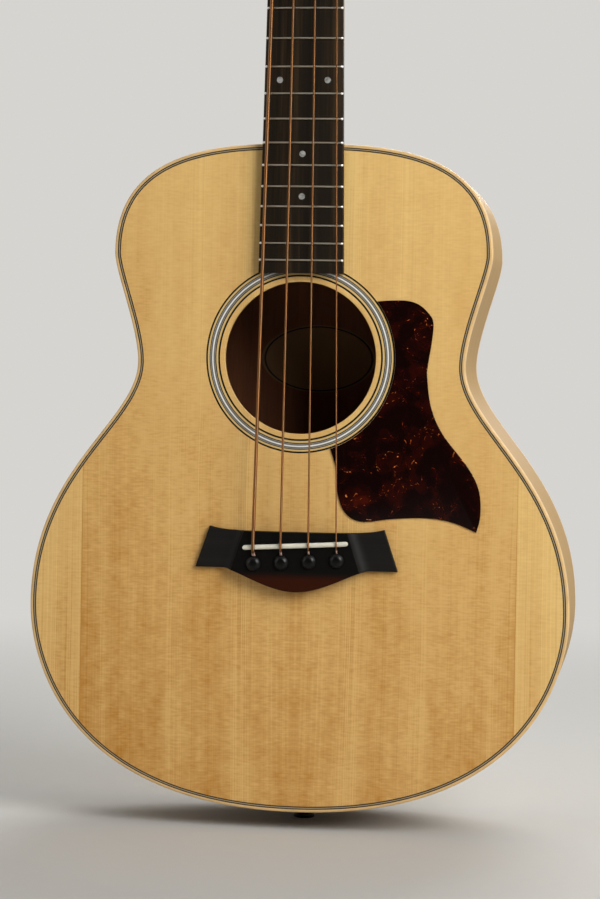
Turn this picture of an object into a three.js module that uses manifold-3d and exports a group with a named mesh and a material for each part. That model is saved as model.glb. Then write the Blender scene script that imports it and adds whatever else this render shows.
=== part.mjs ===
// Acoustic bass guitar: short scale, flat soundboard, arched back without braces, open-geared tuners.
// Millimetres. +Z runs up the neck, the soundboard faces -Y and the thickest string is at -X.
// The origin is the centre of the strap button's outer face, halfway through the body's tail depth.
import * as THREE from "three";
import { mergeVertices } from "three/addons/utils/BufferGeometryUtils.js";
import Module from "manifold-3d";

const wasm = await Module();
wasm.setup();

// Fits
const fit = 0.3; // gap between pieces that touch
const turningFit = 0.35; // gap round a piece that turns
const windingGap = 0.62; // gap between the turns of a wound string
const overrun = 5; // how far a cutter runs past what it cuts
const splitSize = 1500; // side of the blocks that part a piece in two
const weldDistance = 1e-3;
const degree = Math.PI / 180;

// Counts
const bendSteps = 7; // chords in each of the four bends of half the body's edge
const fretCount = 20;
const bodyJoinFret = 14;
const toothCount = 20;
const roundChords = 16; // chords in half of a large round edge
const boreChords = 6; // chords in half of a small bore
const guardOuterChords = 24;
const guardLowerChords = 14;
const guardArcChords = 12;
const bendPoints = 3; // points in each bend of a string

// Scale and body
const scaleLength = 596.9;
const bodyLength = 447.7;
const lowerBoutWidth = 364.6;
const waistWidth = 220.8;
const upperBoutWidth = 254.6;
const tailDepth = 115.4;
const neckEndDepth = 96;
const backRise = 9;
const boardThickness = 2.8;
const backThickness = 2.8;
const sideThickness = 2.3;
const lowerBoutPlaceShare = 0.304;
const waistPlaceShare = 0.6716;
const upperBoutPlaceShare = 0.8361;
const tailHandleShares = [0.819, 0.345];
const lowerHandleShares = [0.556, 0.245];
const upperHandleShares = [0.304, 0.18];
const shoulderHandleShares = [0.98, 0.406];
const spineShares = [0.28, 0.8]; // the ridge of the arched back, as shares of the body's length
const backRingShares = [0, 0.42, 0.77, 1];

// Edge trim
const bindingWidth = 2;
const bindingDepth = 5.5;
const purflingWidth = 2;
const purflingDepth = 1.4;

// Soundhole, rosette, label and pickguard
const soundholeRadius = 50.8;
const rosetteSetback = 3.5; // from the soundhole's edge to the rosette
const rosetteWidth = 9.4;
const rosetteUnderBoard = 7.38; // how far the fingerboard's end covers the rosette
const rosetteDepth = 1.2;
const labelHalfWidth = 40.5;
const labelHalfHeight = 23.9;
const labelThickness = 0.4;
const labelOffset = -2;
const pickguardThickness = 0.8;
const pickguardArcAngles = [-70.5 * degree, 36.9 * degree];
// Places round the pickguard from the soundhole's centre, as shares of the rosette's outer radius.
// Below the rosette, -1 is its lowest point and -2 lies level with the bridge's horns.
const pickguardOuterShares = [
  [0.969, 0.615], [1.124, 0.612], [1.246, 0.571], [1.342, 0.487], [1.394, 0.392], [1.383, 0.193],
  [1.344, -0.066], [1.342, -0.203], [1.388, -0.496], [1.513, -0.771], [1.779, -1.138], [1.901, -1.444],
  [1.921, -1.776],
];
const pickguardTipShare = [1.882, -2.009];
const pickguardLowerShares = [
  [1.636, -1.885], [1.356, -1.833], [0.992, -1.854], [0.68, -1.9], [0.504, -1.788], [0.421, -1.535],
  [0.399, -1.201],
];

// Blocks, linings, braces and bridge plate
const neckBlockWidth = 64;
const neckBlockLength = 46;
const tailBlockWidth = 70;
const tailBlockLength = 18;
const liningWidth = 6;
const liningHeight = 14;
const liningFoot = 2;
const xCrossingShare = 0.616; // of the way from the bridge to the soundhole's edge
const xBraceWidth = 8;
const xBraceHeight = 13;
const xBraceBesidePins = 38.7; // from the outer pins to the legs' middle lines
const braceEndHeight = 3;
const braceEndShare = 0.4; // the swept part of a brace on each side of its middle
const braceEndGap = 7; // from a brace's end to the lining
const transverseBraceWidth = 12;
const transverseBraceHeight = 14;
const transverseBraceDrop = 16; // above the soundhole's edge
const toneBarWidth = 7;
const toneBarHeight = 10;
const toneBarPlateGap = 16.4; // from the bridge plate to the upper bar's higher end
const toneBarHighShare = 0.81; // the higher end's place, as a share of the X brace's place there
const toneBarLowShare = 0.63;
const toneBarDropShare = 0.34; // how far a bar falls, as a share of its higher end's place above the tail
const toneBarStepShare = 0.3;
const bridgePlateThickness = 2.5;
const bridgePlateLength = 37;

// Bridge and saddle
const bridgeHeight = 8.5;
const bridgeTopHalf = 58.8;
const bridgeBottomHalf = 68.2;
const bridgeLength = 39.9; // along the strings, at the centre
const bridgeTopAbove = 8.8; // the centre's upper edge, above the middle of the saddle
const bridgeHornRise = 2.9;
const bridgeWingLength = 24.8;
const bridgeBellyHalf = 50;
const bridgeBellyHandle = 40;
const bridgeBellyFoot = 20;
const bridgeHornFlat = 36;
const bridgeHornHandle = 50;
const bridgeWingHeight = 3.5;
const bridgeScoopLength = 9;
const bridgeScoopHandle = 2;
const bridgeStep = 39.2; // the wing's step line, from the centre, at mid length
const bridgeStepAngle = 18.4 * degree;
const saddleLength = 71;
const saddleThickness = 3.2;
const saddleHeight = 12; // above the soundboard, at the centre
const saddleSlotFloor = 3.6;
const saddleCompensation = 4.1;
const stringSpreadAtSaddle = 55.9;
const pinSetback = 10.9;
const pinRadius = 3.1;
const pinTipRadius = 2.3;
const pinHeadRadius = 4.7;
const pinHeadRise = 2.6;
const pinDomeShare = 0.91;
const pinCollarLength = 1.2;
const pinTipReach = 4;
const pinOuterHeight = 0.5; // the head's underside above the bridge

// Neck, fingerboard and nut
const nutWidth = 42.86;
const nutThickness = 4.5;
const nutHeight = 8.6; // above the neck's front
const stringSpreadAtNut = 34.8;
const stringAboveFretAtNut = 0.6;
const boardEndWidth = 57;
const boardPastLastFret = 8.62;
const fingerboardThickness = 5.8;
const fingerboardRadius = 381;
const fretHeight = 1;
const fretWidth = 2.2;
const neckDepthAtNut = 15.5;
const neckDepthAtHeel = 17;
const neckRoundness = 2.3;
const heelDepth = 84;
const heelRoundness = 3.6;
const heelTaper = 0.5;
const heelReach = 78;
const heelCap = 7;
const neckSectionShares = [0, 0.04, 0.09, 0.13, 0.17, 0.22, 0.28, 0.35, 0.45, 0.6, 0.8, 1];
const trussRodWidth = 5.4;
const trussRodDepth = 8;
const trussNutLength = 9;
const trussRodStart = 4; // from the heel's end

// Headstock
const headTilt = 15 * degree;
const headLength = 155.5;
const headThickness = 14;
const headRoundness = 9;
const headShoulderHalf = 39;
const headTipHalf = 35.5;
const headFlareStart = 5;
const headFlareEnd = 40;
const headCornerRadius = 11;
const headFlareShares = [0.004, 0.03, 0.055, 0.1, 0.14, 0.18, 0.22, 0.26, 0.6];
const headCornerAngles = [0, 25, 45, 62, 78, 88].map((angle) => angle * degree);
const voluteDepth = 18;
const volutePull = 9; // from the nut's end to the sections on both sides of the bend
const scarfDepth = 15;
const veneerThickness = 1.5;
const coverHalfWidth = 11;
const coverLength = 38;
const coverStart = 3;
const coverThickness = 1.2;
const coverTipHalf = 4;

// Tuners
const lowerPostPlace = 50;
const upperPostPlace = 108;
const lowerPostHalfSpread = 26;
const upperPostHalfSpread = 22.5;
const postRadius = 4.8;
const postWaistRadius = 4.2;
const postTopRadius = 5.3;
const postHeight = 16.2;
const postRim = 1.6;
const postHoleRadius = 5.6;
const bushingBarrelRadius = 7.4;
const bushingBarrelLength = 8;
const bushingFlangeRadius = 9.8;
const bushingFlangeThickness = 1.2;
const basePlateHalfWidth = 11.5;
const basePlateThickness = 1.6;
const basePlateBelow = 14;
const basePlateAbove = 19;
const basePlateCorner = 4;
const bearingThickness = 3.2;
const bearingHalfHeight = 3.9;
const gearPitchRadius = 9;
const gearThickness = 3.2;
const gearAddendum = 0.55;
const gearDedendum = 0.85;
const gearHubRadius = 6;
const gearScrewRadius = 3.4;
const gearScrewRise = 1.4;
const wormPitchRadius = 2.75;
const wormOuterRadius = 3.4;
const wormCoreRadius = 1.95;
const wormLength = 12.4;
const wormTurns = 2.6;
const wormEndGap = 0.5;
const flankGap = 0.45; // between thread and tooth, on each side
const tipShare = 0.62; // tooth and thread width at the tip, as a share of that on the pitch line
const rootShare = 1.38;
const wormPlateGap = 0.5;
const keyShaftRadius = 2.1;
const keyShaftReach = 22; // from the post's axis to the button
const keyCollarRadius = 3;
const keyButtonLength = 19;
const keyButtonHalfWidth = 11.5;
const keyButtonThickness = 5;
const keyButtonWaistHalf = 4;

// Strings
const stringDiameters = { e: 2.29, a: 1.57, d: 1.27, g: 0.94 };
const windingTurns = { e: 1.25, a: 1.75, d: 1.75, g: 1.75 };
const ballRadius = 2.6;
const stringBend = 1.5;

// Strap button
const strapButtonLength = 12;
const strapButtonBaseRadius = 7;
const strapButtonHeadRadius = 7.2;
const strapButtonWaistRadius = 4;
const strapButtonRim = 3;

// Places that follow from the sizes
const tailZ = strapButtonLength + fit;
const frontY = -tailDepth / 2;
const bodyEndZ = tailZ + bodyLength;
const fretDistance = (fret) => scaleLength * (1 - 2 ** (-fret / 12));
const nutZ = bodyEndZ + fretDistance(bodyJoinFret);
const nutEndZ = nutZ + nutThickness;
const boardEndZ = nutZ - fretDistance(fretCount) - boardPastLastFret;
const rosetteInnerRadius = soundholeRadius + rosetteSetback;
const rosetteOuterRadius = rosetteInnerRadius + rosetteWidth;
const soundholeZ = boardEndZ + rosetteUnderBoard - rosetteOuterRadius;
const saddleTrebleZ = nutZ - scaleLength;
const saddleMiddleZ = saddleTrebleZ - saddleCompensation / 2;
const saddleAngle = Math.atan2(saddleCompensation, saddleLength);
const bridgeTopZ = saddleMiddleZ + bridgeTopAbove;
const crossingZ = THREE.MathUtils.lerp(bridgeTopZ, soundholeZ - soundholeRadius, xCrossingShare);
const pinMiddleZ = saddleMiddleZ - pinSetback;
const xBraceAngle = Math.atan2(crossingZ - pinMiddleZ, stringSpreadAtSaddle / 2 + xBraceBesidePins);
const underBoardY = frontY + boardThickness + fit;
const boardTopY = frontY - fit - fingerboardThickness;

// Materials
const finishes = {
  spruce: [0xd9a766, 0.42, 0],
  sideWood: [0xcdb48c, 0.5, 0],
  innerWood: [0x8a5a3c, 0.8, 0],
  braceWood: [0xd8b98a, 0.8, 0],
  cream: [0xe6d9b8, 0.4, 0],
  black: [0x191613, 0.4, 0],
  ebony: [0x2a2320, 0.55, 0],
  tortoise: [0x4a1f14, 0.2, 0],
  paper: [0xd9c9a0, 0.9, 0],
  bone: [0xefe9da, 0.35, 0],
  steel: [0x9a9a9a, 0.4, 1],
  chrome: [0xc8c8c8, 0.15, 1],
  bronze: [0xa87a4a, 0.35, 1],
};
const materials = {};
for (const [name, [color, roughness, metalness]] of Object.entries(finishes)) {
  materials[name] = new THREE.MeshStandardMaterial({ color, roughness, metalness });
}

const bass = new THREE.Group();

// Geometry to solid and back

function solid(geometry) {
  const loose = geometry.index ? geometry.toNonIndexed() : geometry;
  const bare = new THREE.BufferGeometry();
  bare.setAttribute("position", loose.getAttribute("position"));
  const merged = mergeVertices(bare, weldDistance);
  const corners = merged.index.array;
  const kept = [];
  for (let i = 0; i < corners.length; i += 3) {
    const [a, b, c] = corners.slice(i, i + 3);
    if (a !== b && b !== c && c !== a) kept.push(a, b, c);
  }
  const vertProperties = merged.attributes.position.array;
  return new wasm.Manifold(new wasm.Mesh({ numProp: 3, vertProperties, triVerts: new Uint32Array(kept) }));
}

function geometryOf(piece) {
  const { vertProperties, triVerts } = piece.getMesh();
  const geometry = new THREE.BufferGeometry();
  geometry.setAttribute("position", new THREE.BufferAttribute(vertProperties, 3));
  geometry.setIndex(new THREE.BufferAttribute(triVerts, 1));
  return geometry.toNonIndexed();
}

function add(name, piece, material, parent = bass) {
  const geometry = geometryOf(piece);
  geometry.computeVertexNormals();
  const mesh = new THREE.Mesh(geometry, material);
  mesh.name = name;
  parent.add(mesh);
}

// Skins a row of rings that have the same number of points.
// Each ring runs anticlockwise about the way that the row is going.
function loft(rings, ends = "capped") {
  const count = rings[0].length;
  const joins = ends === "looped" ? rings.length : rings.length - 1;
  const index = [];
  for (let r = 0; r < joins; r += 1) {
    const here = r * count;
    const next = ((r + 1) % rings.length) * count;
    for (let k = 0; k < count; k += 1) {
      const m = (k + 1) % count;
      index.push(here + k, here + m, next + m, here + k, next + m, next + k);
    }
  }
  if (ends === "capped") {
    const last = (rings.length - 1) * count;
    for (let k = 1; k < count - 1; k += 1) {
      index.push(0, k + 1, k, last, last + k, last + k + 1);
    }
  }
  const geometry = new THREE.BufferGeometry().setFromPoints(rings.flat());
  geometry.setIndex(index);
  return solid(geometry);
}

// A flat shape drawn in X and Z, given a thickness from front to back along Y.
function plate(shape, front, back, curveSegments = 8) {
  const depth = back - front;
  const geometry = new THREE.ExtrudeGeometry(shape, { depth, bevelEnabled: false, curveSegments });
  return solid(geometry.rotateX(Math.PI / 2).translate(0, back, 0));
}

// A profile of [radius, place] pairs turned about Y. The profile runs with growing place on its outside.
function turned(profile, segments = 10) {
  const points = profile.map(([radius, place]) => new THREE.Vector2(radius, place));
  return new THREE.LatheGeometry(points, segments);
}

function block(low, high) {
  const size = new THREE.Vector3().subVectors(high, low);
  const middle = new THREE.Vector3().addVectors(low, high).multiplyScalar(0.5);
  return solid(new THREE.BoxGeometry(size.x, size.y, size.z).translate(middle.x, middle.y, middle.z));
}

function union(pieces) {
  return pieces.reduce((joined, piece) => joined.add(piece));
}

// A route through chosen points, taken point by point.
class Route extends THREE.Curve {
  constructor(points) {
    super();
    this.points = points;
  }

  getPoint(share) {
    return this.points[Math.round(share * (this.points.length - 1))].clone();
  }

  getPointAt(share) {
    return this.getPoint(share);
  }

  getTangentAt(share) {
    const last = this.points.length - 1;
    const here = Math.round(share * last);
    const before = this.points[Math.max(here - 1, 0)];
    const after = this.points[Math.min(here + 1, last)];
    return new THREE.Vector3().subVectors(after, before).normalize();
  }
}

function tube(points, radius, sides) {
  const section = new THREE.Shape();
  for (let k = 0; k < sides; k += 1) {
    const angle = (2 * Math.PI * k) / sides;
    const place = [radius * Math.cos(angle), radius * Math.sin(angle)];
    if (k === 0) section.moveTo(...place);
    else section.lineTo(...place);
  }
  const extrudePath = new Route(points);
  const steps = points.length - 1;
  return solid(new THREE.ExtrudeGeometry(section, { steps, extrudePath, bevelEnabled: false }));
}

// Swaps each inner corner of a route for a short bend.
function rounded(points, bend) {
  const route = [points[0]];
  for (let i = 1; i < points.length - 1; i += 1) {
    const corner = points[i];
    const before = new THREE.Vector3().subVectors(points[i - 1], corner).setLength(bend).add(corner);
    const after = new THREE.Vector3().subVectors(points[i + 1], corner).setLength(bend).add(corner);
    const chordMiddle = new THREE.Vector3().lerpVectors(before, after, 1 / 2);
    const middle = chordMiddle.lerp(corner, 1 / 2);
    route.push(before, middle, after);
  }
  route.push(points[points.length - 1]);
  return route;
}

function circleShape(radius, x = 0, z = 0) {
  return new THREE.Shape().absarc(x, z, radius, 0, 2 * Math.PI, false);
}

function ringShape(inner, outer, x = 0, z = 0) {
  const shape = circleShape(outer, x, z);
  shape.holes.push(new THREE.Path().absarc(x, z, inner, 0, 2 * Math.PI, true));
  return shape;
}

// The body's edge

// Half the edge is four cubic bends: tail to lower bout, to waist, to upper bout, to the neck end.
function halfEdge() {
  const at = (share) => tailZ + share * bodyLength;
  const lower = new THREE.Vector2(lowerBoutWidth / 2, at(lowerBoutPlaceShare));
  const waist = new THREE.Vector2(waistWidth / 2, at(waistPlaceShare));
  const upper = new THREE.Vector2(upperBoutWidth / 2, at(upperBoutPlaceShare));
  const tail = new THREE.Vector2(0, tailZ);
  const end = new THREE.Vector2(0, bodyEndZ);
  const level = (from, share, to) => new THREE.Vector2(from.x, from.y + share * (to.y - from.y));
  const tailHandle = new THREE.Vector2(tailHandleShares[0] * lower.x, tail.y);
  const endHandle = new THREE.Vector2(shoulderHandleShares[1] * upper.x, end.y);
  const bends = [
    [tail, tailHandle, level(lower, tailHandleShares[1], tail), lower],
    [lower, level(lower, lowerHandleShares[0], waist), level(waist, lowerHandleShares[1], lower), waist],
    [waist, level(waist, upperHandleShares[0], upper), level(upper, upperHandleShares[1], waist), upper],
    [upper, level(upper, shoulderHandleShares[0], end), endHandle, end],
  ];
  const edge = [];
  bends.forEach((bend, b) => {
    const curve = new THREE.CubicBezierCurve(...bend);
    for (let k = b === 0 ? 0 : 1; k <= bendSteps; k += 1) {
      const { x, y } = curve.getPoint(k / bendSteps);
      const way = curve.getTangent(k / bendSteps);
      edge.push({ x, z: y, inX: -way.y, inZ: way.x });
    }
  });
  return edge;
}

const rightEdge = halfEdge();
const leftEdge = rightEdge.slice(1, -1).reverse().map(({ x, z, inX, inZ }) => ({ x: -x, z, inX: -inX, inZ }));
const bodyEdge = [...rightEdge, ...leftEdge];

const depthAt = (z) => THREE.MathUtils.lerp(tailDepth, neckEndDepth, (z - tailZ) / bodyLength);
const backRimY = (z) => frontY + depthAt(z);

function halfWidthAt(z) {
  const next = rightEdge.findIndex((place) => place.z > z);
  const [low, high] = [rightEdge[next - 1], rightEdge[next]];
  return THREE.MathUtils.mapLinear(z, low.z, high.z, low.x, high.x);
}

// The height of the arch at a share of the way from the ridge to the rim, straight between the back's rings.
function archAt(share) {
  const rise = (s) => backRise * (1 - s * s);
  const next = Math.max(1, backRingShares.findIndex((s) => s >= share));
  const [low, high] = [backRingShares[next - 1], backRingShares[next]];
  return THREE.MathUtils.mapLinear(share, low, high, rise(low), rise(high));
}

function edgeShape(inset) {
  const points = bodyEdge.map(({ x, z, inX, inZ }) => new THREE.Vector2(x + inset * inX, z + inset * inZ));
  return new THREE.Shape(points);
}

// Carries a section of [inset, y] pairs round the whole edge of the body.
function hoop(section) {
  const rings = bodyEdge.map(({ x, z, inX, inZ }) =>
    section(z).map(([inset, y]) => new THREE.Vector3(x + inset * inX, y, z + inset * inZ)));
  return loft(rings, "looped");
}

// A layer of the arched back between two depths measured from its outer face.
function backLayer(inset, inner, outer) {
  const ring = (share, offset) => bodyEdge.map(({ x, z, inX, inZ }) => {
    const ridgeZ = THREE.MathUtils.clamp(z, ...spineShares.map((s) => tailZ + s * bodyLength));
    const placeX = (x + inset * inX) * share;
    const placeZ = THREE.MathUtils.lerp(ridgeZ, z + inset * inZ, share);
    return new THREE.Vector3(placeX, backRimY(placeZ) + archAt(share) + offset, placeZ);
  });
  const outwards = backRingShares.map((share) => ring(share, outer));
  const inwards = [...backRingShares].reverse().map((share) => ring(share, inner));
  return loft([...outwards, ...inwards], "open");
}

function keepSide(piece, side) {
  const low = new THREE.Vector3(side > 0 ? fit / 2 : -splitSize, -splitSize, -splitSize);
  const high = new THREE.Vector3(side > 0 ? splitSize : -fit / 2, splitSize, splitSize);
  return piece.intersect(block(low, high));
}

// Body shell and trim

function purflingSection(grow) {
  const inset = bindingWidth + fit - grow;
  const reach = bindingWidth + fit + purflingWidth + grow;
  const top = frontY - grow * overrun;
  const floor = frontY + purflingDepth + grow;
  return () => [[inset, top], [inset, floor], [reach, floor], [reach, top]];
}

function buildSoundboard(channels) {
  const shape = edgeShape(bindingWidth + fit);
  shape.holes.push(new THREE.Path().absarc(0, soundholeZ, soundholeRadius, 0, 2 * Math.PI, true));
  const board = plate(shape, frontY, frontY + boardThickness, roundChords);
  const rosetteShape = ringShape(rosetteInnerRadius - fit, rosetteOuterRadius + fit, 0, soundholeZ);
  const rosetteBed = plate(rosetteShape, frontY - overrun, frontY + rosetteDepth + fit, roundChords);
  const inlaid = board.subtract(hoop(purflingSection(fit))).subtract(rosetteBed);
  add("soundboard", inlaid.subtract(channels), materials.spruce);
  const inlay = ringShape(rosetteInnerRadius, rosetteOuterRadius, 0, soundholeZ);
  const rosette = plate(inlay, frontY, frontY + rosetteDepth, roundChords);
  add("rosette", rosette, materials.black);
  add("top_purfling", hoop(purflingSection(0)), materials.black);
}

function buildShell() {
  add("back_plate", backLayer(bindingWidth + fit, -backThickness, 0), materials.sideWood);
  const sides = hoop((z) => {
    const front = frontY + bindingDepth + fit;
    const back = backRimY(z) - bindingDepth - fit;
    return [[0, front], [0, back], [sideThickness, back], [sideThickness, front]];
  });
  add("side_bass", keepSide(sides, -1), materials.sideWood);
  add("side_treble", keepSide(sides, 1), materials.sideWood);
  add("top_binding", hoop(() => [
    [0, frontY], [0, frontY + bindingDepth], [bindingWidth, frontY + bindingDepth], [bindingWidth, frontY],
  ]), materials.cream);
  add("back_binding", hoop((z) => [
    [0, backRimY(z) - bindingDepth], [0, backRimY(z)], [bindingWidth, backRimY(z)],
    [bindingWidth, backRimY(z) - bindingDepth],
  ]), materials.cream);
}

function buildBlocksAndLinings() {
  const inside = sideThickness + fit;
  const room = plate(edgeShape(inside), underBoardY, frontY + tailDepth);
  const beyondBack = backLayer(bindingWidth + fit, -backThickness - fit, tailDepth);
  const cut = (piece) => piece.intersect(room).subtract(beyondBack);
  const blockAt = (width, low, high, grow) => block(
    new THREE.Vector3(-width / 2 - grow, frontY - overrun, low - grow),
    new THREE.Vector3(width / 2 + grow, frontY + tailDepth + overrun, high + grow),
  );
  const neckBlock = (grow) => blockAt(neckBlockWidth, bodyEndZ - neckBlockLength, bodyEndZ + overrun, grow);
  const tailBlock = (grow) => blockAt(tailBlockWidth, tailZ - overrun, tailZ + tailBlockLength, grow);
  add("neck_block", cut(neckBlock(0)), materials.innerWood);
  add("tail_block", cut(tailBlock(0)), materials.innerWood);
  const blocks = neckBlock(fit).add(tailBlock(fit));
  const topLining = hoop(() => [
    [inside, underBoardY], [inside, underBoardY + liningHeight],
    [inside + liningFoot, underBoardY + liningHeight], [inside + liningWidth, underBoardY],
  ]).subtract(blocks);
  const backLining = hoop((z) => {
    const seat = backRimY(z) - backThickness - fit;
    return [
      [inside, seat - liningHeight], [inside, seat], [inside + liningWidth, seat],
      [inside + liningFoot, seat - liningHeight],
    ];
  }).subtract(blocks);
  for (const [name, side] of [["bass", -1], ["treble", 1]]) {
    add(`top_lining_${name}`, keepSide(topLining, side), materials.braceWood);
    add(`back_lining_${name}`, keepSide(backLining, side), materials.braceWood);
  }
}

function buildLabel() {
  const ringPoints = 20;
  const ring = (share, offset) => Array.from({ length: ringPoints }, (_, k) => {
    const angle = (2 * Math.PI * k) / ringPoints;
    const x = labelOffset + share * labelHalfWidth * Math.cos(angle);
    const z = soundholeZ + share * labelHalfHeight * Math.sin(angle);
    const arch = archAt(Math.abs(x) / halfWidthAt(z));
    return new THREE.Vector3(x, backRimY(z) + arch - backThickness - fit - offset, z);
  });
  const shares = [0, 0.5, 1];
  const outwards = shares.map((share) => ring(share, 0));
  const inwards = [...shares].reverse().map((share) => ring(share, labelThickness));
  add("soundhole_label", loft([...outwards, ...inwards], "open"), materials.paper);
}

function buildPickguard() {
  const radius = rosetteOuterRadius + fit;
  const centre = new THREE.Vector2(0, soundholeZ);
  const belowRosette = soundholeZ - rosetteOuterRadius - bridgeTopZ - bridgeHornRise;
  const placeOf = ([across, along]) => new THREE.Vector2(
    across * rosetteOuterRadius,
    Math.max(along, -1) * rosetteOuterRadius + Math.min(along + 1, 0) * belowRosette,
  ).add(centre);
  const circle = new THREE.EllipseCurve(0, soundholeZ, radius, radius, ...pickguardArcAngles);
  const arc = circle.getPoints(guardArcChords);
  const tip = placeOf(pickguardTipShare);
  const outer = new THREE.SplineCurve([arc[guardArcChords], ...pickguardOuterShares.map(placeOf), tip]);
  const lower = new THREE.SplineCurve([tip, ...pickguardLowerShares.map(placeOf), arc[0]]);
  const outerPoints = outer.getPoints(guardOuterChords).slice(1);
  const lowerPoints = lower.getPoints(guardLowerChords).slice(1, -1);
  const shape = new THREE.Shape([...arc, ...outerPoints, ...lowerPoints]);
  add("pickguard", plate(shape, frontY - fit - pickguardThickness, frontY - fit), materials.tortoise);
}

// Braces under the soundboard

// A bar with swept ends, its flat side on the soundboard, through a point and along an angle from +X.
function brace(x, z, angle, back, ahead, width, height, grow = 0) {
  const middleShare = 1 - braceEndShare;
  const bendShare = 1 - braceEndShare / 2;
  const shape = new THREE.Shape();
  shape.moveTo(-back - grow, 0);
  shape.lineTo(ahead + grow, 0);
  shape.lineTo(ahead + grow, braceEndHeight + grow);
  shape.quadraticCurveTo(ahead * bendShare, braceEndHeight, ahead * middleShare, height + grow);
  shape.lineTo(-back * middleShare, height + grow);
  shape.quadraticCurveTo(-back * bendShare, braceEndHeight, -back - grow, braceEndHeight + grow);
  const across = width + 2 * grow;
  const geometry = new THREE.ExtrudeGeometry(shape, { depth: across, bevelEnabled: false, curveSegments: 5 });
  geometry.translate(0, 0, -across / 2);
  const along = new THREE.Vector3(Math.cos(angle), 0, Math.sin(angle));
  const up = new THREE.Vector3(0, 1, 0);
  const place = new THREE.Matrix4().makeBasis(along, up, new THREE.Vector3().crossVectors(along, up));
  place.setPosition(x, underBoardY, z);
  return solid(geometry.applyMatrix4(place));
}

// How far a brace reaches from a point on the centre line, at an angle from +X, before it meets the lining.
function reachToLining(z, angle) {
  const inset = sideThickness + fit + liningWidth + braceEndGap;
  const along = new THREE.Vector2(Math.cos(angle), Math.sin(angle));
  const inner = rightEdge.map((place) => {
    const offset = new THREE.Vector2(place.x + inset * place.inX, place.z + inset * place.inZ - z);
    return { along: offset.dot(along), beside: offset.cross(along) };
  });
  const next = inner.findIndex(({ beside }, k) => k > 0 && beside < 0 && inner[k - 1].beside >= 0);
  const [before, after] = [inner[next - 1], inner[next]];
  return THREE.MathUtils.mapLinear(0, before.beside, after.beside, before.along, after.along);
}

function buildBraces(channels) {
  const xUpperReach = reachToLining(crossingZ, xBraceAngle);
  const xLowerReach = reachToLining(crossingZ, -xBraceAngle);
  const xBrace = (angle, back, ahead, grow) =>
    brace(0, crossingZ, angle, back, ahead, xBraceWidth, xBraceHeight, grow);
  const lap = (front, back) => block(
    new THREE.Vector3(-splitSize, front, crossingZ - 2 * xBraceWidth),
    new THREE.Vector3(splitSize, back, crossingZ + 2 * xBraceWidth),
  );
  const middleY = underBoardY + xBraceHeight / 2;
  const bassLeg = xBrace(-xBraceAngle, xUpperReach, xLowerReach, 0);
  const trebleLeg = xBrace(xBraceAngle, xLowerReach, xUpperReach, 0);
  const bassCut = xBrace(-xBraceAngle, xUpperReach, xLowerReach, fit);
  const trebleCut = xBrace(xBraceAngle, xLowerReach, xUpperReach, fit);
  const frontHalf = lap(underBoardY - overrun, middleY + fit / 2);
  const backHalf = lap(middleY - fit / 2, underBoardY + xBraceHeight + overrun);
  add("x_brace_bass", bassLeg.subtract(trebleCut.intersect(frontHalf)), materials.braceWood);
  add("x_brace_treble", trebleLeg.subtract(bassCut.intersect(backHalf)), materials.braceWood);
  const transverseZ = soundholeZ + soundholeRadius + transverseBraceDrop;
  const transverseReach = reachToLining(transverseZ, 0);
  const transverse = brace(0, transverseZ, 0, transverseReach, transverseReach,
    transverseBraceWidth, transverseBraceHeight);
  add("upper_transverse_brace", transverse, materials.braceWood);
  const legHalf = xBraceWidth / 2 / Math.sin(xBraceAngle) + 2 * fit;
  const edgeAt = (z) => (crossingZ - z) / Math.tan(xBraceAngle) - legHalf;
  const topZ = bridgeTopZ - fit;
  const bottomZ = topZ - bridgePlateLength;
  const upperBarZ = bottomZ - toneBarPlateGap;
  const lowerBarZ = upperBarZ - toneBarStepShare * (upperBarZ - tailZ);
  const barRoom = edgeAt(upperBarZ);
  for (const [name, z] of [["tone_bar_upper", upperBarZ], ["tone_bar_lower", lowerBarZ]]) {
    const high = new THREE.Vector2(-toneBarHighShare * barRoom, z);
    const low = new THREE.Vector2(toneBarLowShare * barRoom, z - toneBarDropShare * (z - tailZ));
    const middle = new THREE.Vector2().lerpVectors(high, low, 1 / 2);
    const reach = high.distanceTo(low) / 2;
    const angle = low.sub(high).angle();
    const bar = brace(middle.x, middle.y, angle, reach, reach, toneBarWidth, toneBarHeight);
    add(name, bar, materials.braceWood);
  }
  const shape = new THREE.Shape();
  shape.moveTo(-edgeAt(topZ), topZ);
  shape.lineTo(-edgeAt(bottomZ), bottomZ);
  shape.lineTo(edgeAt(bottomZ), bottomZ);
  shape.lineTo(edgeAt(topZ), topZ);
  const patch = plate(shape, underBoardY, underBoardY + bridgePlateThickness);
  add("bridge_plate", patch.subtract(channels), materials.innerWood);
}

// Bridge, saddle and pins

function bridgeOutline() {
  const topZ = bridgeTopZ;
  const hornZ = topZ + bridgeHornRise;
  const wingZ = hornZ - bridgeWingLength - bridgeHornRise;
  const bellyZ = topZ - bridgeLength;
  const shape = new THREE.Shape();
  shape.moveTo(0, topZ);
  shape.bezierCurveTo(-bridgeHornFlat, topZ, -bridgeHornHandle, topZ, -bridgeTopHalf, hornZ);
  shape.lineTo(-bridgeBottomHalf, wingZ);
  shape.lineTo(-bridgeBellyHalf, wingZ);
  shape.bezierCurveTo(-bridgeBellyHandle, wingZ, -bridgeBellyFoot, bellyZ, 0, bellyZ);
  shape.bezierCurveTo(bridgeBellyFoot, bellyZ, bridgeBellyHandle, wingZ, bridgeBellyHalf, wingZ);
  shape.lineTo(bridgeBottomHalf, wingZ);
  shape.lineTo(bridgeTopHalf, hornZ);
  shape.bezierCurveTo(bridgeHornHandle, topZ, bridgeHornFlat, topZ, 0, topZ);
  return shape;
}

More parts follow.
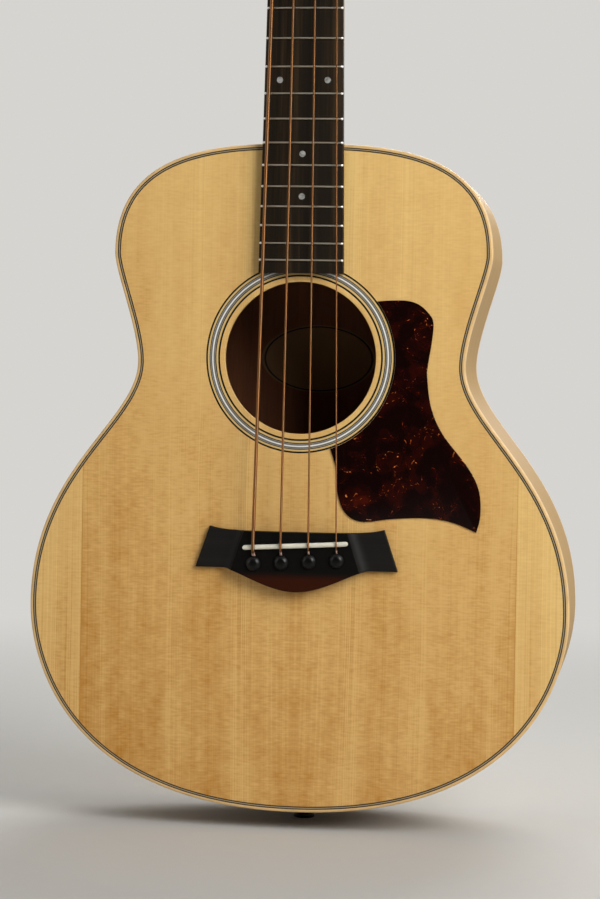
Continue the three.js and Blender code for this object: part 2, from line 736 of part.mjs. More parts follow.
// The hollow over a wing of the bridge, beyond a step line that leans outwards towards the tail.
function wingScoop(side) {
  const seatY = frontY - fit;
  const shape = new THREE.Shape();
  shape.moveTo(0, bridgeHeight + overrun);
  shape.lineTo(0, bridgeHeight);
  shape.quadraticCurveTo(bridgeScoopHandle, bridgeWingHeight, bridgeScoopLength, bridgeWingHeight);
  shape.lineTo(bridgeBottomHalf, bridgeWingHeight);
  shape.lineTo(bridgeBottomHalf, bridgeHeight + overrun);
  const depth = 2 * bridgeLength;
  const geometry = new THREE.ExtrudeGeometry(shape, { depth, bevelEnabled: false, curveSegments: 6 });
  geometry.translate(0, 0, -bridgeLength);
  const outward = new THREE.Vector3(side * Math.cos(bridgeStepAngle), 0, Math.sin(bridgeStepAngle));
  const up = new THREE.Vector3(0, -1, 0);
  const place = new THREE.Matrix4().makeBasis(outward, up, new THREE.Vector3().crossVectors(outward, up));
  place.setPosition(side * bridgeStep, seatY, saddleMiddleZ - pinSetback / 2);
  return solid(geometry.applyMatrix4(place));
}

// The saddle's bar, or the slot for it when it is grown. Its top follows the fingerboard's curve.
function saddleBar(grow) {
  const topY = frontY - saddleHeight - grow * overrun;
  const floorY = frontY - saddleSlotFloor + grow;
  const half = saddleLength / 2 + grow;
  const sagitta = (half * half) / 2 / fingerboardRadius;
  const shape = new THREE.Shape();
  shape.moveTo(-half, -floorY);
  shape.lineTo(half, -floorY);
  shape.lineTo(half, -topY - sagitta);
  shape.quadraticCurveTo(0, -topY + sagitta, -half, -topY - sagitta);
  const depth = saddleThickness + 2 * grow;
  const geometry = new THREE.ExtrudeGeometry(shape, { depth, bevelEnabled: false, curveSegments: 10 });
  geometry.translate(0, 0, -depth / 2);
  geometry.rotateX(Math.PI);
  geometry.rotateY(-saddleAngle);
  geometry.translate(0, 0, saddleMiddleZ);
  return solid(geometry);
}

const saddleZAt = (x) => saddleMiddleZ + x * Math.tan(saddleAngle);

function buildBridge(strings, channels) {
  const body = plate(bridgeOutline(), frontY - fit - bridgeHeight, frontY - fit, 7);
  const shaped = body.subtract(wingScoop(-1)).subtract(wingScoop(1)).subtract(saddleBar(fit));
  add("bridge", shaped.subtract(channels), materials.ebony);
  add("saddle", saddleBar(0), materials.bone);
  const collarY = frontY - fit - bridgeHeight - pinOuterHeight;
  const tipY = underBoardY + bridgePlateThickness + pinTipReach;
  for (const { name, saddleX, pinZ, groove } of strings) {
    const profile = [
      [0, collarY - pinHeadRise], [pinHeadRadius / 2, collarY - pinHeadRise * pinDomeShare],
      [pinHeadRadius * pinDomeShare, collarY - pinHeadRise / 2], [pinHeadRadius, collarY],
      [pinRadius, collarY], [pinRadius, collarY + pinCollarLength], [pinTipRadius, tipY], [0, tipY],
    ];
    const pin = solid(turned(profile).translate(saddleX, 0, pinZ));
    add(`bridge_pin_${name}`, pin.subtract(groove), materials.black);
  }
}

// Neck and headstock

const headPivot = new THREE.Matrix4().makeRotationX(-headTilt).setPosition(0, frontY, nutEndZ);
const boardHalfAt = (z) => THREE.MathUtils.mapLinear(z, nutZ, boardEndZ, nutWidth, boardEndWidth) / 2;
const smooth = (share) => THREE.MathUtils.smoothstep(share, 0, 1);

function headHalfAt(place) {
  const flare = smooth((place - headFlareStart) / (headFlareEnd - headFlareStart));
  const taper = THREE.MathUtils.clamp((place - headFlareEnd) / (headLength - headFlareEnd), 0, 1);
  const flared = THREE.MathUtils.lerp(nutWidth / 2, headShoulderHalf, flare);
  const half = flared - taper * (headShoulderHalf - headTipHalf);
  const intoCorner = Math.max(0, place - headLength + headCornerRadius);
  return half - headCornerRadius + Math.sqrt(headCornerRadius ** 2 - intoCorner ** 2);
}

// Places along the head where its outline turns, closest together in the flare and round the end's corners.
const headPlaces = [
  ...headFlareShares.map((share) => share * headLength),
  ...headCornerAngles.map((angle) => headLength - headCornerRadius * (1 - Math.sin(angle))),
];

// A section of the neck: flat in front, round behind. Power 2 is an ellipse, more is squarer.
function neckSection(half, depth, power, taper, tilt, place) {
  const steps = 10;
  return Array.from({ length: steps + 1 }, (_, k) => {
    const angle = (Math.PI * k) / steps;
    const across = Math.sign(Math.cos(angle)) * Math.abs(Math.cos(angle)) ** (2 / power);
    const down = Math.sin(angle) ** (2 / power);
    const point = new THREE.Vector3(half * across * (1 - taper * down), depth * down, 0);
    return point.applyAxisAngle(new THREE.Vector3(1, 0, 0), -tilt).add(place);
  });
}

function neckBlank() {
  const rings = [];
  const startZ = bodyEndZ + fit;
  const shaftEndZ = nutEndZ - volutePull;
  for (const share of neckSectionShares) {
    const z = THREE.MathUtils.lerp(startZ, shaftEndZ, share);
    const sweep = THREE.MathUtils.clamp((z - startZ - heelCap) / (heelReach - heelCap), 0, 1);
    const heel = (1 - sweep) ** 3;
    const shaft = THREE.MathUtils.lerp(neckDepthAtHeel, neckDepthAtNut, share);
    const depth = shaft + heel * (heelDepth - shaft);
    const power = THREE.MathUtils.lerp(neckRoundness, heelRoundness, Math.sqrt(heel));
    const taper = heelTaper * Math.sqrt(heel);
    rings.push(neckSection(boardHalfAt(z), depth, power, taper, 0, new THREE.Vector3(0, frontY, z)));
  }
  const bendPlace = new THREE.Vector3(0, frontY, nutEndZ);
  const bendPower = (neckRoundness + headRoundness) / 2;
  rings.push(neckSection(nutWidth / 2, voluteDepth, bendPower, 0, headTilt / 2, bendPlace));
  for (const place of [volutePull, ...headPlaces.filter((beyond) => beyond > volutePull)]) {
    const at = new THREE.Vector3(0, 0, place).applyMatrix4(headPivot);
    rings.push(neckSection(headHalfAt(place), headThickness, headRoundness, 0, headTilt, at));
  }
  return loft(rings);
}

function headShape() {
  const right = headPlaces.map((place) => new THREE.Vector2(headHalfAt(place), place));
  const left = [...right].reverse().map(({ x, y }) => new THREE.Vector2(-x, y));
  return new THREE.Shape([...right, ...left]);
}

function onHead(piece) {
  return solid(geometryOf(piece).applyMatrix4(headPivot));
}

// A bell: as wide as the truss rod's mouth needs at the nut, drawn in towards its tip.
function coverShape() {
  const [half, tip] = [coverHalfWidth, coverTipHalf];
  const [low, middle, high] = [0, 1 / 2, 1].map((share) => coverStart + share * coverLength);
  const shape = new THREE.Shape();
  shape.moveTo(-half, low);
  shape.lineTo(half, low);
  shape.bezierCurveTo(half, middle, tip, middle, tip, high);
  shape.lineTo(-tip, high);
  shape.bezierCurveTo(-tip, middle, -half, middle, -half, low);
  return shape;
}

function buildNeck(posts) {
  const blank = neckBlank();
  const low = new THREE.Vector3(-splitSize, -splitSize, -splitSize);
  const high = new THREE.Vector3(splitSize, splitSize, splitSize);
  const headSide = onHead(block(low, high.clone().setY(scarfDepth - fit / 2)));
  const shaftSide = onHead(block(low.clone().setY(scarfDepth + fit / 2), high));
  const rodHalf = trussRodWidth / 2 + fit;
  const rodStartZ = bodyEndZ + fit + trussRodStart;
  const rodEndZ = nutEndZ + coverStart + coverLength - fit - overrun;
  const channel = block(
    new THREE.Vector3(-rodHalf, frontY - overrun, rodStartZ - fit),
    new THREE.Vector3(rodHalf, frontY + trussRodDepth + 2 * fit, rodEndZ),
  );
  add("neck", blank.intersect(shaftSide).subtract(channel), materials.sideWood);
  const boresFor = (radius, front, back) => union(posts.map(({ x, place }) =>
    plate(circleShape(radius, x, place), front, back, boreChords)));
  const bores = boresFor(postHoleRadius, -overrun, headThickness + overrun);
  const bushings = boresFor(bushingBarrelRadius + 2 * fit, -overrun, bushingBarrelLength + fit);
  const headCuts = onHead(bores.add(bushings));
  add("headstock", blank.intersect(headSide).subtract(channel).subtract(headCuts), materials.sideWood);
  const veneer = plate(headShape(), -fit - veneerThickness, -fit);
  const rodMouth = block(
    new THREE.Vector3(-rodHalf, -overrun, -overrun),
    new THREE.Vector3(rodHalf, overrun, coverLength),
  );
  const veneerHoles = boresFor(bushingBarrelRadius + 2 * fit, -overrun, overrun);
  add("headstock_veneer", onHead(veneer.subtract(rodMouth).subtract(veneerHoles)), materials.ebony);
  const rod = block(
    new THREE.Vector3(-trussRodWidth / 2, frontY + fit, rodStartZ),
    new THREE.Vector3(trussRodWidth / 2, frontY + fit + trussRodDepth, nutEndZ),
  );
  const rodNut = turned([
    [0, 0], [trussRodWidth / 2, 0], [trussRodWidth / 2, trussNutLength + fit], [0, trussNutLength + fit],
  ], 12).rotateX(Math.PI / 2).translate(0, frontY + fit + trussRodDepth / 2, nutEndZ - fit);
  add("truss_rod", rod.add(solid(rodNut)), materials.steel);
  const coverBack = -2 * fit - veneerThickness;
  add("truss_rod_cover", onHead(plate(coverShape(), coverBack - coverThickness, coverBack)), materials.black);
}

// An arc-topped slab: the band between two heights over a curved board, cut to a width.
function crownedBand(half, floorY, topY, startZ, endZ) {
  const dropAt = (x) => (x * x) / 2 / fingerboardRadius;
  const steps = 4;
  const shape = new THREE.Shape();
  shape.moveTo(-half, -floorY);
  shape.lineTo(half, -floorY);
  for (let k = steps; k >= 0; k -= 1) {
    const x = half * (2 * (k / steps) - 1);
    shape.lineTo(x, -topY - dropAt(x));
  }
  const geometry = new THREE.ExtrudeGeometry(shape, { depth: endZ - startZ, bevelEnabled: false });
  return solid(geometry.rotateX(Math.PI).translate(0, 0, endZ));
}

function buildFingerboard(strings) {
  const shape = new THREE.Shape();
  shape.moveTo(-boardEndWidth / 2, boardEndZ);
  shape.lineTo(boardEndWidth / 2, boardEndZ);
  shape.lineTo(nutWidth / 2, nutZ - fit);
  shape.lineTo(-nutWidth / 2, nutZ - fit);
  const blank = plate(shape, boardTopY - overrun, frontY - fit);
  const boardRange = [boardEndZ - overrun, nutZ + overrun];
  let board = blank.intersect(crownedBand(boardEndWidth, frontY + overrun, boardTopY, ...boardRange));
  for (let fret = 1; fret <= fretCount; fret += 1) {
    const z = nutZ - fretDistance(fret);
    const fretRange = [z - fretWidth / 2, z + fretWidth / 2];
    board = board.add(crownedBand(boardHalfAt(z), frontY - 2 * fit, boardTopY - fretHeight, ...fretRange));
  }
  add("fingerboard", board, materials.ebony);
  const nutBlank = crownedBand(nutWidth / 2, frontY - fit, frontY - nutHeight, nutZ, nutEndZ);
  const slots = union(strings.map(({ slot }) => slot));
  add("nut", nutBlank.subtract(slots), materials.bone);
}

// Tuners

const headFace = fit + veneerThickness + fit + bushingFlangeThickness;
const wormPitch = (2 * Math.PI * gearPitchRadius) / toothCount;
const backPlateY = headThickness + fit;
const wormY = backPlateY + basePlateThickness + wormPlateGap + wormOuterRadius;
const wormPlace = gearPitchRadius + wormPitchRadius;
const bearingInner = wormLength / 2 + wormEndGap;

function gearSolid() {
  const shape = new THREE.Shape();
  const toothHalf = (wormPitch / 2 - flankGap) / 2;
  const tipRadius = gearPitchRadius + gearAddendum;
  const rootRadius = gearPitchRadius - gearDedendum;
  for (let tooth = 0; tooth < toothCount; tooth += 1) {
    const middle = Math.PI / 2 + (2 * Math.PI * (tooth + 1 / 2)) / toothCount;
    const corners = [
      [rootRadius, -rootShare], [tipRadius, -tipShare], [tipRadius, tipShare], [rootRadius, rootShare],
    ];
    corners.forEach(([radius, share], k) => {
      const angle = middle + (share * toothHalf) / gearPitchRadius;
      const place = [radius * Math.cos(angle), radius * Math.sin(angle)];
      if (tooth === 0 && k === 0) shape.moveTo(...place);
      else shape.lineTo(...place);
    });
  }
  const geometry = new THREE.ExtrudeGeometry(shape, { depth: gearThickness, bevelEnabled: false });
  geometry.rotateX(Math.PI / 2).translate(0, wormY + gearThickness / 2, 0);
  const lean = wormPitch / (2 * Math.PI * wormPitchRadius) / gearPitchRadius;
  const { position } = geometry.attributes;
  const point = new THREE.Vector3();
  for (let i = 0; i < position.count; i += 1) {
    point.fromBufferAttribute(position, i);
    point.applyAxisAngle(new THREE.Vector3(0, 1, 0), lean * (point.y - wormY));
    position.setXYZ(i, point.x, point.y, point.z);
  }
  return solid(geometry);
}

// The thread of the worm: a trapezium carried round a helix about X.
function wormThread() {
  const stepsPerTurn = 8;
  const half = (wormPitch / 2 - flankGap) / 2;
  const sunk = wormCoreRadius - fit;
  const count = Math.round(wormTurns * stepsPerTurn);
  const rings = Array.from({ length: count + 1 }, (_, k) => {
    const turns = k / stepsPerTurn - wormTurns / 2;
    const angle = 2 * Math.PI * turns - Math.PI / 2;
    const x = wormPitch * turns;
    const section = [
      [sunk, -rootShare * half], [sunk, rootShare * half], [wormOuterRadius, tipShare * half],
      [wormOuterRadius, -tipShare * half],
    ];
    return section.map(([radius, shift]) =>
      new THREE.Vector3(x + shift, radius * Math.cos(angle), radius * Math.sin(angle)));
  });
  return loft(rings);
}

function keySolid() {
  const inner = bearingInner + bearingThickness;
  const core = turned([
    [0, -inner], [keyShaftRadius, -inner], [keyShaftRadius, -bearingInner], [wormCoreRadius, -wormLength / 2],
    [wormCoreRadius, wormLength / 2], [keyShaftRadius, bearingInner], [keyShaftRadius, keyShaftReach],
    [0, keyShaftReach],
  ], 8);
  const collarStart = inner + turningFit;
  const collar = turned([
    [0, collarStart], [keyCollarRadius, collarStart], [keyCollarRadius, keyShaftReach - overrun],
    [keyShaftRadius, keyShaftReach], [0, keyShaftReach],
  ], 8);
  const shaft = solid(core.rotateZ(Math.PI / 2)).add(solid(collar.rotateZ(Math.PI / 2)));
  const buttonShape = new THREE.Shape();
  const near = keyShaftReach - keyButtonWaistHalf / 2;
  const far = near + keyButtonLength;
  const middle = (near + far) / 2;
  const [waist, half] = [keyButtonWaistHalf, keyButtonHalfWidth];
  buttonShape.moveTo(-near, -waist);
  buttonShape.bezierCurveTo(-near, -half, -middle, -half, -middle, -half);
  buttonShape.bezierCurveTo(-far, -half, -far, -waist, -far, 0);
  buttonShape.bezierCurveTo(-far, waist, -far, half, -middle, half);
  buttonShape.bezierCurveTo(-middle, half, -near, half, -near, waist);
  const button = plate(buttonShape, -keyButtonThickness / 2, keyButtonThickness / 2, boreChords);
  return wormThread().add(shaft).add(button);
}

function basePlateSolid() {
  const shape = new THREE.Shape();
  const [half, corner] = [basePlateHalfWidth, basePlateCorner];
  shape.moveTo(-half + corner, -basePlateBelow);
  shape.lineTo(half - corner, -basePlateBelow);
  shape.quadraticCurveTo(half, -basePlateBelow, half, -basePlateBelow + corner);
  shape.lineTo(half, basePlateAbove - corner);
  shape.quadraticCurveTo(half, basePlateAbove, half - corner, basePlateAbove);
  shape.lineTo(-half + corner, basePlateAbove);
  shape.quadraticCurveTo(-half, basePlateAbove, -half, basePlateAbove - corner);
  shape.lineTo(-half, -basePlateBelow + corner);
  shape.quadraticCurveTo(-half, -basePlateBelow, -half + corner, -basePlateBelow);
  const seatHole = plate(circleShape(postRadius + turningFit), backPlateY - overrun, wormY, boreChords);
  let base = plate(shape, backPlateY, backPlateY + basePlateThickness, 3);
  const topY = wormY + bearingHalfHeight;
  for (const side of [-1, 1]) {
    const nearX = side * bearingInner;
    const farX = side * (bearingInner + bearingThickness);
    const bearing = block(
      new THREE.Vector3(Math.min(nearX, farX), backPlateY, wormPlace - bearingHalfHeight),
      new THREE.Vector3(Math.max(nearX, farX), topY, wormPlace + bearingHalfHeight),
    );
    base = base.add(bearing);
  }
  const boreRadius = keyShaftRadius + turningFit;
  const bore = new THREE.CylinderGeometry(boreRadius, boreRadius, 2 * keyShaftReach, 8);
  return base.subtract(seatHole).subtract(solid(bore.rotateZ(Math.PI / 2).translate(0, wormY, wormPlace)));
}

function postSolid(slotWidth, slotY) {
  const topY = -postHeight;
  const waistY = fit - headFace;
  const hubY = backPlateY + basePlateThickness + fit;
  const gearTopY = wormY + gearThickness / 2;
  const screwY = gearTopY + gearScrewRise;
  const body = solid(turned([
    [0, topY], [postTopRadius, topY], [postTopRadius, topY + postRim],
    [postWaistRadius, topY + 2 * postRim], [postWaistRadius, waistY - fit], [postRadius, waistY],
    [postRadius, hubY], [gearHubRadius, hubY], [gearHubRadius, wormY],
    [gearScrewRadius, gearTopY - fit], [gearScrewRadius, screwY], [0, screwY],
  ]));
  const slot = block(
    new THREE.Vector3(-slotWidth / 2, topY - overrun, -overrun - postTopRadius),
    new THREE.Vector3(slotWidth / 2, slotY, overrun + postTopRadius),
  );
  return body.subtract(slot).add(gearSolid());
}

function bushingSolid() {
  const bore = postRadius + turningFit;
  const seatY = -fit - veneerThickness - fit;
  return solid(turned([
    [bore, seatY - bushingFlangeThickness], [bushingFlangeRadius, seatY - bushingFlangeThickness],
    [bushingFlangeRadius, seatY], [bushingBarrelRadius, seatY], [bushingBarrelRadius, bushingBarrelLength],
    [bore, bushingBarrelLength], [bore, seatY - bushingFlangeThickness],
  ]));
}

// Strings

function stringPlan(name, order, side, place, spread) {
  const diameter = stringDiameters[name];
  const saddleX = (order / 3 - 1 / 2) * stringSpreadAtSaddle;
  const nutX = (order / 3 - 1 / 2) * stringSpreadAtNut;
  const windRadius = postWaistRadius + fit + diameter / 2;
  const runY = -headFace - fit - diameter / 2;
  const pitch = diameter + windingGap;
  return {
    name, side, place, diameter, saddleX, nutX, windRadius, runY, pitch,
    x: side * spread,
    turns: windingTurns[name],
    pinZ: saddleZAt(saddleX) - pinSetback,
    slotY: runY - pitch * (1 + windingTurns[name]),
  };
}

// From the ball under the bridge plate, up past the pin, over the saddle and the nut, to the post.
// It ends with half a turn round the post.
function stringRoute(plan) {
  const { diameter, saddleX, nutX, pinZ, side, x, place, windRadius, runY } = plan;
  const radius = diameter / 2;
  const holeZ = pinZ + pinRadius + fit + radius;
  const ballY = underBoardY + bridgePlateThickness + fit + ballRadius;
  const ballZ = pinZ + pinTipRadius + 2 * fit + ballRadius;
  const rampY = frontY - fit - bridgeHeight + radius;
  const dropAt = (across) => (across * across) / 2 / fingerboardRadius;
  const saddleY = frontY - saddleHeight - fit - radius + dropAt(saddleX);
  const nutY = boardTopY - fretHeight - stringAboveFretAtNut - radius + dropAt(nutX);
  const nutPoint = new THREE.Vector3(nutX, nutY, nutZ + nutThickness / 2);
  const toHead = headPivot.clone().invert();
  const local = nutPoint.clone().applyMatrix4(toHead);
  const offX = side * (local.x - x);
  const offZ = local.z - place;
  const distance = Math.hypot(offX, offZ);
  const touch = Math.atan2(offZ, -offX) + Math.acos(windRadius / distance);
  const arcSteps = 6;
  const arc = Array.from({ length: arcSteps + 1 }, (_, k) => {
    const angle = touch + (k / arcSteps) * Math.PI;
    const across = x - side * windRadius * Math.cos(angle);
    const along = place + windRadius * Math.sin(angle);
    return new THREE.Vector3(across, runY, along).applyMatrix4(headPivot);
  });
  const corners = [
    new THREE.Vector3(saddleX, ballY, ballZ),
    new THREE.Vector3(saddleX, underBoardY + bridgePlateThickness - fit, holeZ),
    new THREE.Vector3(saddleX, rampY, holeZ),
    new THREE.Vector3(saddleX, saddleY, saddleZAt(saddleX) - (saddleThickness + stringBend) / 2),
    nutPoint,
    arc[0],
  ];
  return [...rounded(corners, stringBend), ...arc.slice(1)];
}

// The turns on the post: from beside the end of the run up to the slot, and through it to the middle.
function windingRoute({ diameter, windRadius, runY, pitch, turns }) {
  const stepsPerTurn = 24;
  const bend = diameter;
  const slotAngle = Math.PI / 2;
  const endAngle = slotAngle - bend / windRadius;
  const count = Math.round(turns * stepsPerTurn);
  const startY = runY - pitch;
  const at = (angle, radius, y) => new THREE.Vector3(radius * Math.cos(angle), y, radius * Math.sin(angle));
  const coil = Array.from({ length: count + 1 }, (_, k) => {
    const share = k / count;
    return at(endAngle - 2 * Math.PI * turns * (1 - share), windRadius, startY - pitch * turns * share);
  });
  const endY = startY - pitch * turns;
  const lead = new THREE.Vector3().subVectors(coil[0], coil[1]).setY(0).setLength(diameter).add(coil[0]);
  const into = [
    at(slotAngle - bend / windRadius / 4, windRadius - bend / 8, endY),
    at(slotAngle, windRadius - bend / 2, endY),
    at(slotAngle, windRadius - bend, endY),
    at(slotAngle, diameter / 4, endY),
  ];
  return [lead, ...coil, ...into];
}

// The least distance between two stretches of a route that are half a turn or more apart, less the diameter.
function leastSelfGap(route, diameter) {
  const apart = 12;
  let least = Infinity;
  route.forEach((here, i) => {
    for (let j = i + apart; j < route.length; j += 1) least = Math.min(least, here.distanceTo(route[j]));
  });
  return least - diameter;
}

function buildTuner(plan) {
  const { name, side, x, place, diameter, slotY } = plan;
  const tuner = new THREE.Group();
  tuner.position.set(x, 0, place);
  tuner.scale.x = -side;
  add(`tuner_plate_${name}`, basePlateSolid(), materials.chrome, tuner);
  const key = new THREE.Group();
  key.position.set(0, wormY, wormPlace);
  add(`tuner_key_${name}`, keySolid(), materials.chrome, key);
  tuner.add(key);
  const post = postSolid(diameter + 2 * windingGap, slotY + diameter / 2 + fit);
  add(`tuner_post_${name}`, post, materials.chrome, tuner);
  add(`tuner_bushing_${name}`, bushingSolid(), materials.chrome, tuner);
  const route = windingRoute(plan);
  add(`string_wraps_${name}`, tube(route, diameter / 2, 6), materials.bronze, tuner);
  console.log(`string_wraps_${name} least self-gap ${leastSelfGap(route, diameter).toFixed(2)} mm`);
  return tuner;
}

function strapButton() {
  const profile = [
    [0, 0], [strapButtonHeadRadius, 0], [strapButtonHeadRadius, strapButtonRim],
    [strapButtonWaistRadius, strapButtonLength / 2],
    [strapButtonBaseRadius, strapButtonLength - strapButtonRim],
    [strapButtonBaseRadius, strapButtonLength], [0, strapButtonLength],
  ];
  return solid(turned(profile).rotateX(Math.PI / 2));
}

// The whole instrument

const plans = [
  stringPlan("e", 0, -1, lowerPostPlace, lowerPostHalfSpread),
  stringPlan("a", 1, -1, upperPostPlace, upperPostHalfSpread),
  stringPlan("d", 2, 1, upperPostPlace, upperPostHalfSpread),
  stringPlan("g", 3, 1, lowerPostPlace, lowerPostHalfSpread),
];
// In a route the ball comes first, and then three points for each bend: plate, ramp, saddle and nut.
const saddlePoint = 2 * bendPoints + Math.ceil(bendPoints / 2);
const postPoint = 4 * bendPoints + 1;
for (const plan of plans) {
  plan.route = stringRoute(plan);
  plan.groove = tube(plan.route.slice(0, saddlePoint + 1), plan.diameter / 2 + fit, 6);
  plan.slot = tube(plan.route.slice(saddlePoint + 1, postPoint + 1), plan.diameter / 2 + fit, 6);
}
const channelEndY = underBoardY + bridgePlateThickness + overrun;
const pinHoles = union(plans.map(({ saddleX, pinZ }) =>
  plate(circleShape(pinRadius + fit, saddleX, pinZ), frontY - bridgeHeight - overrun, channelEndY, 5)));
const channels = pinHoles.add(union(plans.map(({ groove }) => groove)));

buildSoundboard(channels);
buildShell();
buildBlocksAndLinings();
buildLabel();
buildPickguard();
buildBraces(channels);
buildBridge(plans, channels);
buildNeck(plans);
buildFingerboard(plans);
for (const plan of plans) {
  const { name, route, diameter, saddleX } = plan;
  const ball = new THREE.SphereGeometry(ballRadius, 8, 6).translate(saddleX, route[0].y, route[0].z);
  add(`string_${name}`, tube(route, diameter / 2, 6).add(solid(ball)), materials.bronze);
}
add("strap_button", strapButton(), materials.black);
const head = new THREE.Group();
head.applyMatrix4(headPivot);
for (const plan of plans) head.add(buildTuner(plan));
bass.add(head);

export default bass;
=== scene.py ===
"""Looks of a short-scale acoustic bass guitar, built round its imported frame.

Sizes are millimetres in the frame's axes: +Z runs up the neck, the soundboard faces -Y and the thickest
string is at -X. Surface.mesh turns them into metres. Patterns read Object coordinates or the piece's own UV
map, both in metres: the map's U runs along the piece and its V across it.
"""

import logging
import math
from collections.abc import Callable, Sequence
from dataclasses import dataclass, field, replace
from enum import Enum

import bmesh
import bpy
import numpy as np
from mathutils import Matrix, Vector


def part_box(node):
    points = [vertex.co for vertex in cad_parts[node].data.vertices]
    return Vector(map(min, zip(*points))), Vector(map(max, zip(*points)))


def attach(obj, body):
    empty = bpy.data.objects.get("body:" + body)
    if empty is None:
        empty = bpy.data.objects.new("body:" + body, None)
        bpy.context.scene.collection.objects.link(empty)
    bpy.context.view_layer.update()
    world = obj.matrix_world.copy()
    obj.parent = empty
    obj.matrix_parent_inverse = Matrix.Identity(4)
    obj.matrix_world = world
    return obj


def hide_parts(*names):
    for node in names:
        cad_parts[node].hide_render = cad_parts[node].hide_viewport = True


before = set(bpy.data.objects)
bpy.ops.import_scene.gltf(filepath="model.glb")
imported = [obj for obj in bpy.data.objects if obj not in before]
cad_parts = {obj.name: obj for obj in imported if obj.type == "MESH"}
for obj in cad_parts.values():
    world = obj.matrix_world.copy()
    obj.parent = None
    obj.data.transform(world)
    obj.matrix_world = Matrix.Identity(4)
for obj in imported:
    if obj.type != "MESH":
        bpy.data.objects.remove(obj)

log = logging.getLogger("bass_guitar")
Array = np.ndarray
Tree, Node, Socket = bpy.types.NodeTree, bpy.types.Node, bpy.types.NodeSocket

MM = 0.001  # a millimetre in metres
ROOT = "instrument"
STRINGS = ("e", "a", "d", "g")
PICTURE_HEIGHT = 899
GAP = 0.3  # the CAD model's clearance between pieces that seat on each other
SKIN = 0.02  # a glued piece's back face stands this far off its seat
SHARP_DEGREES = 35.0  # edges that bend more than this stay hard
WELD = 2e-6  # corners closer than this many metres become one
RELIEF = 0.2 * MM  # how deep a bump pattern is at full strength
ACROSS = np.array([1.0, 0.0, 0.0])


def linear(hex_colour: str) -> tuple[float, float, float, float]:
  """Turns an sRGB hex colour into the linear colour that shaders take.

  Args:
    hex_colour: Six hex digits after a hash.

  Returns:
    Red, green, blue and full alpha.
  """
  levels = np.array([int(hex_colour[i:i + 2], 16) for i in (1, 3, 5)]) / 255
  bent = np.where(levels <= 0.04045, levels / 12.92, ((levels + 0.055) / 1.055) ** 2.4)
  return (*bent.tolist(), 1.0)


def put(tree: Tree, kind: str, *inputs: object, **named: object) -> Node:
  """Adds one node to a tree.

  Args:
    tree: The node tree.
    kind: The node's type without its ShaderNode prefix, and after a dot its operation.
    *inputs: What the first inputs get: a value, a socket, or a node for its first output. A dict gives them
      by name or number instead.
    **named: The same for inputs by name, and the node's own settings. "stops" fills a colour ramp, and "From"
      and "To" are the two ends of a range.

  Returns:
    The new node.
  """
  kind, _, operation = kind.partition(".")
  node = tree.nodes.new("ShaderNode" + kind)
  if operation:
    node.operation = operation
  given = inputs[0] if inputs and isinstance(inputs[0], dict) else dict(enumerate(inputs))
  for key, value in {**named, **given}.items():
    if key == "stops":
      elements = node.color_ramp.elements
      while len(elements) < len(value):
        elements.new(1.0)
      for element, (place, colour) in zip(elements, value):
        element.position = place
        element.color = linear(colour)
    elif key == "interpolation":
      node.color_ramp.interpolation = value
    elif key in ("From", "To"):
      node.inputs[key + " Min"].default_value, node.inputs[key + " Max"].default_value = value
    elif isinstance(value, (Node, Socket)):
      tree.links.new(value.outputs[0] if isinstance(value, Node) else value, node.inputs[key])
    elif isinstance(key, str) and key in node.bl_rna.properties:
      setattr(node, key, value)
    else:
      node.inputs[key].default_value = value
  return node


# Finishes


class Grain(Enum):
  """The way a wood's fibres run, as their length along each axis over their width."""

  ALONG_NECK = (1, 1, 50)
  ACROSS = (50, 1, 1)
  ALONG_UV = (50, 1, 50)


@dataclass(frozen=True)
class Finish:
  """A real material, named for how its surface was made, as one shader for one of the record's slots."""

  name: str
  slot: str
  colour: str
  roughness: float = 0.5
  metallic: float = 0.0
  ior: float = 1.5
  coat: float = 0.0
  coat_roughness: float = 0.15
  specular: float = 0.5
  cloud_mm: float = 11.0
  unevenness: float = 0.1
  gloss_unevenness: float = 0.15
  noise_range: tuple = (0.3, 0.7)  # where nearly all of a noise's values lie

  def material(self) -> bpy.types.Material:
    """Makes the material, once.

    Returns:
      The material, the same one at each call.
    """
    known = bpy.data.materials.get(self.name)
    if known:
      return known
    material = bpy.data.materials.new(self.name)
    material.use_nodes = True
    tree = material.node_tree
    tree.nodes.clear()
    shader = put(tree, "BsdfPrincipled", {
        "Base Color": linear(self.colour), "Roughness": self.roughness, "Metallic": self.metallic,
        "IOR": self.ior, "Coat Weight": self.coat, "Coat Roughness": self.coat_roughness,
        "Specular IOR Level": self.specular, **self.paint(tree),
    })
    put(tree, "OutputMaterial", Surface=shader)
    return material

  def paint(self, tree: Tree) -> dict:
    """Makes the pattern of every plain finish: faint unevenness of tone and gloss.

    Args:
      tree: The material's node tree.

    Returns:
      What feeds the shader, by the name of the input.
    """
    cloud = put(tree, "TexNoise", Scale=1 / (self.cloud_mm * MM), Detail=3.0,
                Vector=put(tree, "TexCoord").outputs["Object"])
    tone = put(tree, "MapRange", From=self.noise_range, To=(1 - self.unevenness, 1 + self.unevenness),
               Value=cloud)
    low, high = (self.roughness * (1 + side * self.gloss_unevenness) for side in (-1, 1))
    gloss = put(tree, "MapRange", To=(low, high), Value=cloud)
    return {"Base Color": self.tinted(tree, tone), "Roughness": gloss}

  def tinted(self, tree: Tree, tone: Node) -> Socket:
    """Returns the finish's colour times a tone."""
    return put(tree, "Mix", {6: linear(self.colour), 7: tone}, data_type="RGBA", blend_type="MULTIPLY",
               Factor=1.0).outputs[2]


